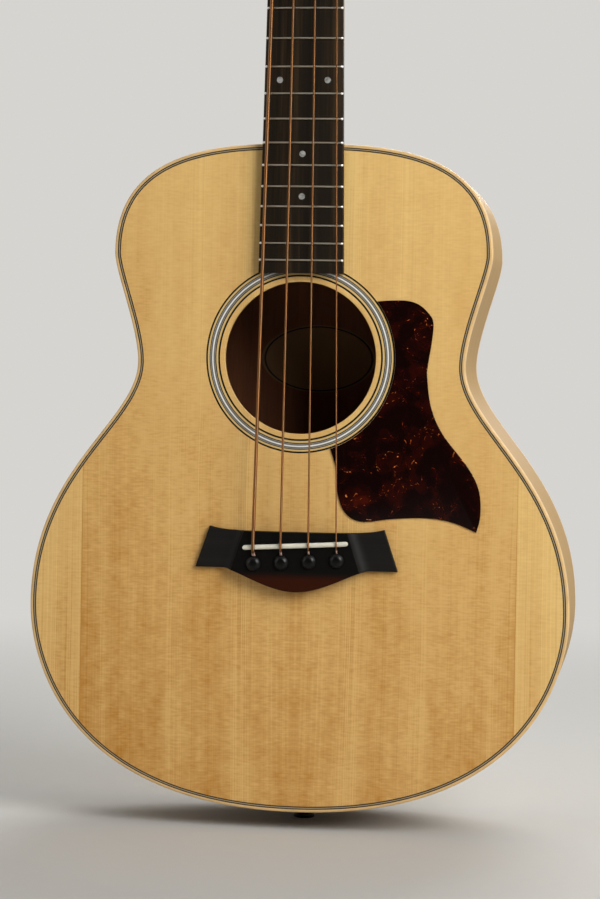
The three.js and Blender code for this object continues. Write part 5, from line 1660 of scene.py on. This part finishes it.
  def dots(self) -> None:
    """Pearl dots level with the board, and small white dots in its bass side."""
    profile = filleted([(0, -0.06, 0), (self.dot_radius, -0.04, 0.1), (self.dot_radius, 0.8, 0), (0, 0.8, 0)])
    disc, parts, sides = turned(profile, 32), [], []
    (double, aside), (deep, apart, size) = self.double_dot, self.side_dots
    for fret, x in [(fret, 0.0) for fret in self.dot_frets] + [(double, -aside), (double, aside)]:
      z = self.nut_z - (self.fret_distance(fret) + self.fret_distance(fret - 1)) / 2
      lean = math.degrees(x / self.board_curve)
      parts.append(disc.placed(shift(x, self.board_top + self.bow(x), z) @ spin("Z", lean)))
      for offset in (-apart, apart) if x > 0 else (0.0,) if x == 0 else ():
        place = shift(-float(self.half_width(z)), self.form.front_y - deep, z + offset)
        sides.append(disc.placed(place @ spin("Z", -90) @ stretch(size, 1, size)))
    Surface.joined(parts).build("position_dots_pearl", [PEARL], slot=EBONY.slot)
    Surface.joined(sides).build("side_dots_white", [BONE], slot=EBONY.slot)

  def truss_cover(self) -> None:
    """A bell-shaped cover with rounded rims, held by two small screws."""
    half, tip, start, length, thickness = self.cover
    middle, end = start + length / 2, start + length
    side = bezier([(half, start), (half, middle), (tip, middle), (tip, end)], 32)
    outline = np.concatenate([side, side[::-1] * [-1, 1]])
    back = -SKIN - self.veneer_gap - self.veneer
    cover = slab(outline, back - thickness, back, self.cover_edge).placed(self.head)
    cover.build("truss_cover_black", [BLACK_PLASTIC], ["truss_rod_cover"])
    radius, inset = self.cover_screws
    screws = [Screw(radius).skin().placed(self.head @ shift(0, back - thickness, place))
              for place in (start + inset, end - inset)]
    Surface.joined(screws).build("truss_cover_screws", [CHROME])


# Tuners


@dataclass(frozen=True)
class Tuners:
  """Four open-geared tuners: base plate with two bearings, key with worm, post with wheel, and bushing."""

  neck: Neck = field(default_factory=Neck)
  places: tuple = ((-26.0, 50.0), (-22.5, 108.0), (22.5, 108.0), (26.0, 50.0))
  post_radius: float = 4.8
  post_waist: float = 4.2
  post_top: float = 5.3
  post_height: float = 16.2
  post_rim: float = 1.6
  bushing_flange: float = 9.8
  bushing_barrel: float = 7.4
  bushing_bore: float = 5.15
  bushing_depth: float = 8.0
  flange_thickness: float = 1.2
  plate_half: float = 11.5
  plate_thickness: float = 1.6
  plate_range: tuple = (-14.0, 19.0)
  plate_corner: float = 4.0
  plate_screws: tuple = (1.5, 8.0, 3.2, 1.9)  # radius, place across, and insets from the plate's two ends
  bearing_thickness: float = 3.2
  bearing_half: float = 3.9
  bearing_edge: float = 0.3
  teeth: int = 20
  pitch_radius: float = 9.0
  gear_thickness: float = 3.2
  gear_edge: float = 0.25
  gear_screw: float = 3.4
  addendum: float = 0.55
  dedendum: float = 0.85
  hub_radius: float = 6.0
  worm_radius: float = 2.75
  worm_outer: float = 3.4
  worm_core: float = 1.95
  worm_length: float = 12.4
  worm_turns: float = 2.6
  worm_gap: float = 0.5  # to the plate and to the bearings
  worm_fade: float = 0.4
  flank_gap: float = 0.45
  tip_share: float = 0.62
  root_share: float = 1.38
  shaft_radius: float = 2.1
  shaft_reach: float = 22.0
  shaft_edge: float = 0.25
  collar_radius: float = 3.0
  button_length: float = 19.0
  button_half: float = 11.5
  button_thickness: float = 5.0
  button_waist: float = 4.0
  button_powers: tuple = (0.45, 0.7)  # of its outline's and its height's swell
  button_core: float = 0.55  # the flat face's size over the outline's
  winding_gap: float = 0.62

  @property
  def plate_y(self) -> float:
    """The headstock's back, where the base plates sit."""
    return self.neck.head_thickness + self.neck.board_gap

  @property
  def face_y(self) -> float:
    """The bushings' front face in the headstock's frame."""
    return -(2 * GAP + self.neck.veneer + self.flange_thickness)

  @property
  def worm_y(self) -> float:
    """The worm's axis behind the headstock's face."""
    return self.neck.head_thickness + GAP + self.plate_thickness + self.worm_gap + self.worm_outer

  @property
  def worm_z(self) -> float:
    """The worm's axis above the post's."""
    return self.pitch_radius + self.worm_radius

  @property
  def pitch(self) -> float:
    """One tooth's length on the pitch circle."""
    return math.tau * self.pitch_radius / self.teeth

  @property
  def tooth_half(self) -> float:
    """Half a tooth's thickness on the pitch circle."""
    return (self.pitch / 2 - self.flank_gap) / 2

  def at(self, index: int) -> Array:
    """Returns a tuner's frame: its post's axis on the headstock's face, mirrored on the treble side."""
    x, place = self.places[index]
    return self.neck.head @ shift(x, 0, place) @ stretch(x=-math.copysign(1, x))

  def build(self, strings: "Strings") -> None:
    """Builds the four tuners.

    Args:
      strings: The strings, whose turns set the slots in the posts.
    """
    for index, name in enumerate(STRINGS):
      at = self.at(index)
      self.plate(name, at)
      self.key(name, at)
      self.post(name, at, strings)
      self.bushing(name, at)

  def plate(self, name: str, at: Array) -> None:
    """A round-cornered plate, two arched bearings and four screws.

    Args:
      name: The string.
      at: The tuner's frame.
    """
    low, high = self.plate_range
    half, bend, soft = self.plate_half, self.plate_corner, self.bearing_edge
    outline = filleted([(half, 0, 0), (half, high, bend), (-half, high, bend), (-half, low, bend),
                        (half, low, bend), (half, 0, 0)], 8)[:-1]
    top = self.plate_y + self.plate_thickness
    parts = [slab(outline, top, self.plate_y)]
    angle, reach = np.linspace(0, math.pi, 17), self.bearing_half
    middle = np.array([self.worm_z, self.worm_y])
    arch = middle + reach * np.stack([np.cos(angle), np.sin(angle)], -1)
    foot = top - 0.1
    section = np.array([(self.worm_z + reach, foot), *arch, (self.worm_z - reach, foot)])
    near = self.worm_length / 2 + self.worm_gap
    far = near + self.bearing_thickness
    for side in (-1, 1):
      rings = []
      for x, draw in ((near, soft), (near + soft, 0), (far - soft, 0), (far, soft)):
        z, y = (middle + (section - middle) * (1 - draw / reach)).T
        rings.append(space(side * x, y, z))
      parts.append(Surface.grid(np.stack(rings), capped=True))
    radius, aside, from_low, from_high = self.plate_screws
    parts += [Screw(radius).skin().placed(shift(x, top, z) @ stretch(y=-1))
              for x in (-aside, aside) for z in (low + from_low, high - from_high)]
    whole = Surface.joined([part.placed(at) for part in parts])
    whole.build("tuner_base_" + name, [CHROME], ["tuner_plate_" + name])

  def key(self, name: str, at: Array) -> None:
    """Shaft, worm and button. The worm's radius follows a trapezium wave of the angle less the way along.

    Args:
      name: The string.
      at: The tuner's frame.
    """
    along = np.linspace(-self.worm_length / 2, self.worm_length / 2, 110)[:, None]
    angle, half, pitch = circle(40), self.tooth_half, self.pitch
    phase = along - pitch * (angle + math.pi / 2) / math.tau
    off = np.abs((phase + pitch / 2) % pitch - pitch / 2)
    rise = np.clip((self.root_share * half - off) / (half * (self.root_share - self.tip_share)), 0, 1)
    fade = np.clip((pitch * self.worm_turns / 2 + half - np.abs(along)) / self.worm_fade, 0, 1)
    radius = self.worm_core + (self.worm_outer - self.worm_core) * rise * fade
    worm = Surface.grid(space(along, radius * np.cos(angle), radius * np.sin(angle)), capped=True)
    inner = self.worm_length / 2 + self.worm_gap + self.bearing_thickness
    thin, soft, end, collar = self.shaft_radius, self.shaft_edge, self.shaft_reach, inner + 0.35
    shaft = turned(filleted([
        (0, -inner - 0.6, 0), (thin, -inner - 0.6, soft), (thin, collar, 0),
        (self.collar_radius, collar, soft), (self.collar_radius, end - 5, 0.8),
        (thin, end, 0), (thin, end + 3, 0), (0, end + 3, 0)]), 40)
    place = at @ shift(0, self.worm_y, self.worm_z)
    parts = (worm, shaft.placed(spin("Z", 90)), self.button())
    whole = Surface.joined([part.placed(place) for part in parts])
    whole.build("tuner_knob_" + name, [CHROME], ["tuner_key_" + name], "key_" + name)

  def button(self) -> Surface:
    """An oval button, thickest in the middle: its outline drawn in ring by ring as its faces rise.

    Returns:
      The skin.
    """
    waist, half = self.button_waist, self.button_half
    near = -self.shaft_reach + waist / 2
    far = near - self.button_length
    middle = (near + far) / 2
    curves = [
        [(near, -waist), (near, -half), (middle, -half), (middle, -half)],
        [(middle, -half), (far, -half), (far, -waist), (far, 0)],
        [(far, 0), (far, waist), (far, half), (middle, half)],
        [(middle, half), (middle, half), (near, half), (near, waist)],
    ]
    outline = np.concatenate([bezier(curve, 18)[:-1] for curve in curves] + [[(near, waist)]])
    centre, rings = np.array([middle, 0.0]), []
    for tilt in np.linspace(0.02, math.pi - 0.02, 19):
      wide, high = self.button_powers
      lift = -self.button_thickness / 2 * math.copysign(abs(math.cos(tilt)) ** high, math.cos(tilt))
      x, z = (centre + (outline - centre) * (self.button_core + (1 - self.button_core)
                                             * math.sin(tilt) ** wide)).T
      rings.append(space(x, lift, z))
    return Surface.grid(np.stack(rings), capped=True)

  def post(self, name: str, at: Array, strings: "Strings") -> None:
    """Post with its string slot, and the toothed wheel with the screw that holds it.

    Args:
      name: The string.
      at: The tuner's frame.
      strings: The strings.
    """
    top, waist_y = -self.post_height, self.face_y + GAP
    hub = self.neck.head_thickness + 2 * GAP + self.plate_thickness
    profile = filleted([
        (0, top, 0), (self.post_top, top, 0.5), (self.post_top, top + self.post_rim, 0.3),
        (self.post_waist, top + 2 * self.post_rim, 0.5), (self.post_waist, waist_y - 0.3, 0),
        (self.post_radius, waist_y, 0), (self.post_radius, hub, 0), (self.hub_radius, hub, 0),
        (self.hub_radius, self.worm_y, 0), (0, self.worm_y, 0)])
    diameter = strings.diameters[name]
    wide, long = diameter / 2 + self.winding_gap, 9.0
    floor = strings.slot_y(name) + diameter / 2 + GAP
    bar = np.array([(-wide, -long), (wide, -long), (wide, long), (-wide, long)])
    slot = slab(bar, top - 5, floor, edge=0.0, both=True).placed(at)
    body = "post_" + name
    turned(profile, 64).placed(at).build("tuner_spindle_" + name, [CHROME], ["tuner_post_" + name], body,
                                         cutter=slot)
    screw = Screw(self.gear_screw).skin().placed(
        shift(0, self.worm_y + self.gear_thickness / 2, 0) @ stretch(y=-1))
    wheel = Surface.joined([part.placed(at) for part in (self.gear(), screw)])
    wheel.build("tuner_wheel_" + name, [BRASS_GEAR], body=body)

  def gear(self) -> Surface:
    """The toothed wheel: each tooth's outline in polar form, turned in proportion to its depth, because the
    teeth lean with the worm's lead.

    Returns:
      The skin.
    """
    tip, root = self.pitch_radius + self.addendum, self.pitch_radius - self.dedendum
    reach, offset = np.array([(root, -self.root_share), (tip, -self.tip_share), (tip, self.tip_share),
                              (root, self.root_share)]).T
    tooth = np.arange(self.teeth)[:, None] + 0.5
    angle = math.pi / 2 + math.tau * tooth / self.teeth + offset * self.tooth_half / self.pitch_radius
    radius = np.broadcast_to(reach, angle.shape).ravel()
    lean = self.pitch / (math.tau * self.worm_radius) / self.pitch_radius
    thick, soft, rows = self.gear_thickness / 2, self.gear_edge, []
    for depth, draw in ((-thick, soft), (-thick + soft, 0), (0, 0), (thick - soft, 0), (thick, soft)):
      turn, flat = angle.ravel() - lean * depth, radius - draw
      rows.append(space(flat * np.cos(turn), self.worm_y + depth, flat * np.sin(turn)))
    return Surface.grid(np.stack(rows), capped=True)

  def bushing(self, name: str, at: Array) -> None:
    """A round flange on the headstock's face, with the barrel's mouth inside it.

    Args:
      name: The string.
      at: The tuner's frame.
    """
    seat = -self.neck.veneer - self.neck.veneer_gap
    bore, flange, barrel = self.bushing_bore, self.bushing_flange, self.bushing_barrel
    end, rim = self.bushing_depth, seat - self.flange_thickness
    profile = filleted([(bore, end, 0), (bore, rim, 0.4), (flange, rim, 0.6), (flange, seat, 0),
                        (barrel, seat, 0), (barrel, end, 0)])
    rows = turned(profile, 64).points.reshape(-1, 64, 3)
    made = Surface.grid(rows, wrap_rows=True).placed(at)
    made.build("tuner_collar_" + name, [CHROME], ["tuner_bushing_" + name])


@dataclass(frozen=True)
class Strings:
  """Four wound strings, from the ball under the bridge plate to the post, and their turns on the post."""

  neck: Neck = field(default_factory=Neck)
  tuners: Tuners = field(default_factory=Tuners)
  diameters: dict = field(default_factory=lambda: {"e": 2.29, "a": 1.57, "d": 1.27, "g": 0.94})
  turns: dict = field(default_factory=lambda: {"e": 1.25, "a": 1.75, "d": 1.75, "g": 1.75})
  sides: int = 14
  nut_spread: float = 34.8
  nut_lift: float = 0.6
  board_thickness: float = 2.8
  plate_thickness: float = 2.5
  ramp_height: float = 8.5
  ball_radius: float = 2.6
  ball_gap: float = 0.6
  bend: float = 1.5
  bend_steps: int = 8
  roll: tuple = (4.0, 18.0)  # where past the nut the tube's sides start to turn with the head, and how long

  def run_y(self, name: str) -> float:
    """Returns a string's depth in the headstock's frame where it meets its post."""
    return self.tuners.face_y - GAP - self.diameters[name] / 2

  def slot_y(self, name: str) -> float:
    """Returns the depth of a string's last turn, in the headstock's frame."""
    return self.run_y(name) - (self.diameters[name] + self.tuners.winding_gap) * (1 + self.turns[name])

  def wind_radius(self, name: str) -> float:
    """Returns the radius of a string's middle line round its post."""
    return self.tuners.post_waist + GAP + self.diameters[name] / 2

  def route(self, name: str, bridge: Bridge) -> Array:
    """The string's middle line: straight runs joined by short bends, and half a circle round the post.

    Args:
      name: The string.
      bridge: The bridge that it starts from.

    Returns:
      The line's points.
    """
    neck, index, radius = self.neck, STRINGS.index(name), self.diameters[name] / 2
    front, x = neck.form.front_y, float(bridge.string_x[index])
    pin_z = bridge.pin_z(x)
    hole_z = pin_z + bridge.pin_radius + GAP + radius
    under = front + self.board_thickness + GAP + self.plate_thickness
    ball_z = pin_z + bridge.pin_tip_radius + self.ball_gap + self.ball_radius
    ball = (x, under + GAP + self.ball_radius, ball_z)
    saddle_y = front - bridge.saddle_height - GAP - radius + neck.bow(x)
    saddle_z = bridge.saddle_z + x * bridge.slant - (bridge.saddle_thickness + self.bend) / 2
    nut_x = (index / 3 - 0.5) * self.nut_spread
    nut_y = neck.board_top - neck.fret_height - self.nut_lift - radius + neck.bow(nut_x)
    nut = (nut_x, nut_y, neck.nut_z + neck.nut_thickness / 2)
    arc = self.round_post(name, np.array(nut))
    corners = np.array([ball, (x, under - GAP, hole_z), (x, front - GAP - self.ramp_height + radius, hole_z),
                        (x, saddle_y, saddle_z), nut, arc[0]])
    line = [corners[:1]]
    for before, corner, after in zip(corners, corners[1:], corners[2:]):
      line.append(bezier(bent(before, corner, after, self.bend), self.bend_steps))
    run = np.linspace(0, 1, 26)[1:-1, None]
    return np.concatenate([*line, line[-1][-1] * (1 - run) + arc[0] * run, arc])

  def round_post(self, name: str, nut: Array) -> Array:
    """Half a circle round the post, from where the straight line from the nut touches it.

    Args:
      name: The string.
      nut: Its point over the nut.

    Returns:
      The half circle's points.
    """
    head, (post_x, place) = self.neck.head, self.tuners.places[STRINGS.index(name)]
    side, wind = math.copysign(1, post_x), self.wind_radius(name)
    local = (np.linalg.inv(head) @ [*nut, 1])[:3]
    off_x, off_z = side * (local[0] - post_x), local[2] - place
    touch = math.atan2(off_z, -off_x) + math.acos(wind / math.hypot(off_x, off_z))
    angle = touch + np.linspace(0, math.pi, 40)
    arc = space(post_x - side * wind * np.cos(angle), self.run_y(name), place + wind * np.sin(angle))
    return arc @ head[:3, :3].T + head[:3, 3]

  def build(self, bridge: Bridge) -> None:
    """Builds the strings and their turns.

    Args:
      bridge: The bridge that they start from.
    """
    tilt = np.linspace(0, math.pi, 13)
    ball = turned(self.ball_radius * np.stack([np.sin(tilt), -np.cos(tilt)], -1), 24)
    start, length = self.roll
    for index, name in enumerate(STRINGS):
      line, radius = self.route(name, bridge), self.diameters[name] / 2
      weight = np.clip((line[:, 2] - self.neck.nut_z - start) / length, 0, 1)[:, None]
      level = (1 - weight) * ACROSS + weight * self.neck.head[:3, 1]
      wrapped = (np.arange(len(line) - 1) < 2 * self.bend_steps + 1).astype(int)
      string = tube(line, radius, self.sides, level, finishes=wrapped)
      whole = Surface.joined([string, ball.placed(shift(*line[0]))])
      whole.build("string_bronze_" + name, [BRONZE, SILK], ["string_" + name])
      coil = tube(self.coil(name), radius, self.sides, np.array([0, 1.0, 0])).placed(self.tuners.at(index))
      coil.build("string_turns_" + name, [BRONZE], ["string_wraps_" + name], "post_" + name)

  def coil(self, name: str) -> Array:
    """The turns on a post: a helix that ends beside the slot, and a short bend in through it.

    Args:
      name: The string.

    Returns:
      The middle line's points in the tuner's frame.
    """
    diameter, wind, turns = self.diameters[name], self.wind_radius(name), self.turns[name]
    pitch = diameter + self.tuners.winding_gap
    start = self.run_y(name) - pitch
    end_y = start - pitch * turns
    share = np.linspace(0, 1, int(64 * turns))
    angle = math.pi / 2 - diameter / wind - math.tau * turns * (1 - share)
    helix = space(wind * np.cos(angle), start - pitch * turns * share, wind * np.sin(angle))
    lead = helix[0] - helix[1]
    lead = helix[0] + lead / np.linalg.norm(lead) * diameter
    into = bezier([helix[-1], (0, end_y, wind * 1.02), (0, end_y, wind - diameter)], 9)[1:]
    inside = [(0, end_y, wind - diameter * 1.4), (0, end_y, diameter / 4)]
    return np.concatenate([lead[None], helix, into, inside])


@dataclass(frozen=True)
class StrapButton:
  """The turned button at the tail."""

  length: float = 12.3
  base_radius: float = 7.0
  head_radius: float = 7.2
  waist_radius: float = 4.0
  rim: float = 3.0
  edge: float = 0.8

  def build(self) -> None:
    """Builds the button with its waist drawn in by a smooth curve."""
    head, base, waist, rim, end = self.head_radius, self.base_radius, self.waist_radius, self.rim, self.length
    curve = bezier([(head - 0.3, rim), (waist - 1.5, end / 2), (waist - 0.5, end / 2), (base, end - rim)], 16)
    face = filleted([(0, 0, 0), (head, 0, self.edge), (head, rim, 0.6), (head - 0.6, rim + 0.2, 0)])
    made = turned(np.concatenate([face, curve[1:], [(base, end), (0, end)]])).placed(spin("X", 90))
    made.build("strap_button_black", [BLACK_PLASTIC], ["strap_button"])


# Carried-over nodes, camera and light


def dress_frame_nodes() -> None:
  """Gives each node that stays the finish that its slot has in the record."""
  kept = {
      SPRUCE_BRACE: ["top_lining_bass", "top_lining_treble", "back_lining_bass", "back_lining_treble",
                     "x_brace_bass", "x_brace_treble", "upper_transverse_brace", "tone_bar_upper",
                     "tone_bar_lower"],
      BLOCK_WOOD: ["neck_block", "tail_block", "bridge_plate"],
      STEEL: ["truss_rod"],
  }
  for finish, names in kept.items():
    for name in names:
      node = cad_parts[name]
      node.data.materials.clear()
      node.data.materials.append(finish.material())


@dataclass(frozen=True)
class Studio:
  """Camera, floor and soft lamps. Lengths are metres here."""

  camera_place: tuple = (0.2491, -1.80914, 0.31026)
  camera_right: tuple = (0.9899, 0.1408, 0.0174)
  camera_up: tuple = (-0.0215, 0.0279, 0.9994)
  focal_pixels: float = 2648.25
  sensor_mm: float = 36.0
  floor_half: float = 6.0
  floor_fade: tuple = (0.5, 1.5)
  floor_colour: str = "#c0beb9"
  backdrop_colour: str = "#d6d4d0"
  sky: float = 0.36
  lamps: tuple = (  # name, place, side and power in watts
      ("key", (1.2, -1.06, 1.12), 1.2, 8.5), ("fill", (-1.9, -1.6, 1.0), 1.4, 1.5),
      ("back", (0.4, 2.4, 1.9), 1.8, 14.0))
  lamp_spread: float = 80.0
  lamp_aim: tuple = (0, 0, 0.4)
  dark_side: float = 0.05
  dark_range: tuple = (-0.9, -0.3)

  def build(self) -> None:
    """Makes the camera, the floor, the world and the lamps."""
    scene = bpy.context.scene
    scene.view_settings.view_transform = "Standard"
    self.camera(scene)
    self.floor()
    self.world(scene)
    for lamp in self.lamps:
      self.lamp(*lamp)

  def camera(self, scene: bpy.types.Scene) -> None:
    """Places the camera from its right and up directions.

    Args:
      scene: The scene.
    """
    data = bpy.data.cameras.new("camera")
    data.sensor_width = self.sensor_mm
    data.lens = self.focal_pixels / PICTURE_HEIGHT * self.sensor_mm
    camera = bpy.data.objects.new("camera", data)
    scene.collection.objects.link(camera)
    right, up = Vector(self.camera_right).normalized(), Vector(self.camera_up).normalized()
    back = right.cross(up).normalized()
    turn = Matrix((right, back.cross(right), back)).transposed().to_4x4()
    camera.matrix_world = Matrix.Translation(self.camera_place) @ turn
    scene.camera = camera

  def floor(self) -> None:
    """A plain pale floor under the strap button, which fades into the backdrop far out."""
    half = self.floor_half
    corners = [(-half, -half, 0), (half, -half, 0), (half, half, 0), (-half, half, 0)]
    data = bpy.data.meshes.new("floor")
    data.from_pydata(corners, [], [(0, 1, 2, 3)])
    paper = Finish("floor_paper_matt", "floor", self.floor_colour, roughness=0.9, unevenness=0.0).material()
    data.materials.append(paper)
    tree = paper.node_tree
    end = next(node for node in tree.nodes if node.type == "OUTPUT_MATERIAL")
    lit = end.inputs["Surface"].links[0].from_socket
    place = put(tree, "TexCoord").outputs["Object"]
    length = put(tree, "VectorMath.LENGTH", place).outputs["Value"]
    seen, far = self.backdrop(tree, put(tree, "VectorMath.NORMALIZE", place).outputs[0])
    fade = put(tree, "MapRange", interpolation_type="SMOOTHSTEP", From=self.floor_fade, Value=length)
    amount = put(tree, "Math.MULTIPLY", fade, seen)
    mixed = put(tree, "MixShader", amount, lit, far)
    tree.links.new(mixed.outputs[0], end.inputs["Surface"])
    floor = bpy.data.objects.new("floor", data)
    bpy.context.scene.collection.objects.link(floor)

  def backdrop(self, tree: Tree, way: Socket) -> tuple[Node, Node]:
    """The studio's far wall as the camera, polished faces and glass see it: pale all round, but for the dark
    side of the room behind the camera, which only polished faces see.

    Args:
      tree: The world's or the floor's node tree.
      way: The direction from the middle of the studio.

    Returns:
      The rays that see it, and its shader.
    """
    rays = put(tree, "LightPath").outputs
    clear = put(tree, "Math.MAXIMUM", rays["Is Camera Ray"], rays["Is Transmission Ray"])
    seen = put(tree, "Math.MAXIMUM", clear, rays["Is Glossy Ray"])
    level = put(tree, "Math.MAXIMUM", self.brightness(tree, way), clear)
    kind = "Background" if isinstance(tree.id_data, bpy.types.World) else "Emission"
    return seen, put(tree, kind, Color=linear(self.backdrop_colour), Strength=level)

  def brightness(self, tree: Tree, way: Socket) -> Node:
    """The room's brightness by direction: full, but for the dark side round -Y.

    Args:
      tree: The node tree.
      way: The direction.

    Returns:
      The node that gives it, from dark_side to 1.
    """
    depth = put(tree, "SeparateXYZ", way).outputs["Y"]
    return put(tree, "MapRange", From=self.dark_range, To=(self.dark_side, 1), Value=depth)

  def world(self, scene: bpy.types.Scene) -> None:
    """Even light from all round but the dark side, and the backdrop's tone behind the object.

    Args:
      scene: The scene.
    """
    world = bpy.data.worlds.new("studio")
    scene.world = world
    world.use_nodes = True
    tree = world.node_tree
    tree.nodes.clear()
    way = put(tree, "TexCoord").outputs["Generated"]
    seen, far = self.backdrop(tree, way)
    sky = put(tree, "Math.MULTIPLY", self.brightness(tree, way), self.sky)
    light = put(tree, "Background", Color=linear("#ffffff"), Strength=sky)
    mixed = put(tree, "MixShader", seen, light, far)
    put(tree, "OutputWorld", Surface=mixed)

  def lamp(self, name: str, place: tuple, size: float, power: float) -> None:
    """A soft square lamp that looks at the body's middle.

    Args:
      name: The lamp's name.
      place: Its place.
      size: Its side.
      power: Its power in watts.
    """
    data = bpy.data.lights.new(name, "AREA")
    data.size = size
    data.energy = power
    data.spread = math.radians(self.lamp_spread)
    lamp = bpy.data.objects.new(name, data)
    lamp.location = place
    towards = Vector(self.lamp_aim) - Vector(place)
    lamp.rotation_euler = towards.to_track_quat("-Z", "Y").to_euler()
    bpy.context.scene.collection.objects.link(lamp)


def main() -> None:
  """Builds every class in order."""
  logging.basicConfig(level=logging.INFO, format="%(message)s")
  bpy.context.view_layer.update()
  form = BodyForm()
  neck = Neck(form)
  bridge = Bridge(form, nut_z=neck.nut_z)
  tuners = Tuners(neck)
  strings = Strings(neck, tuners)
  Studio().build()
  dress_frame_nodes()
  Body(form).build()
  Pickguard(form).build()
  bridge.build(strings)
  neck.build(strings, bridge)
  tuners.build(strings)
  strings.build(bridge)
  StrapButton().build()


if __name__ == "__main__":
  main()
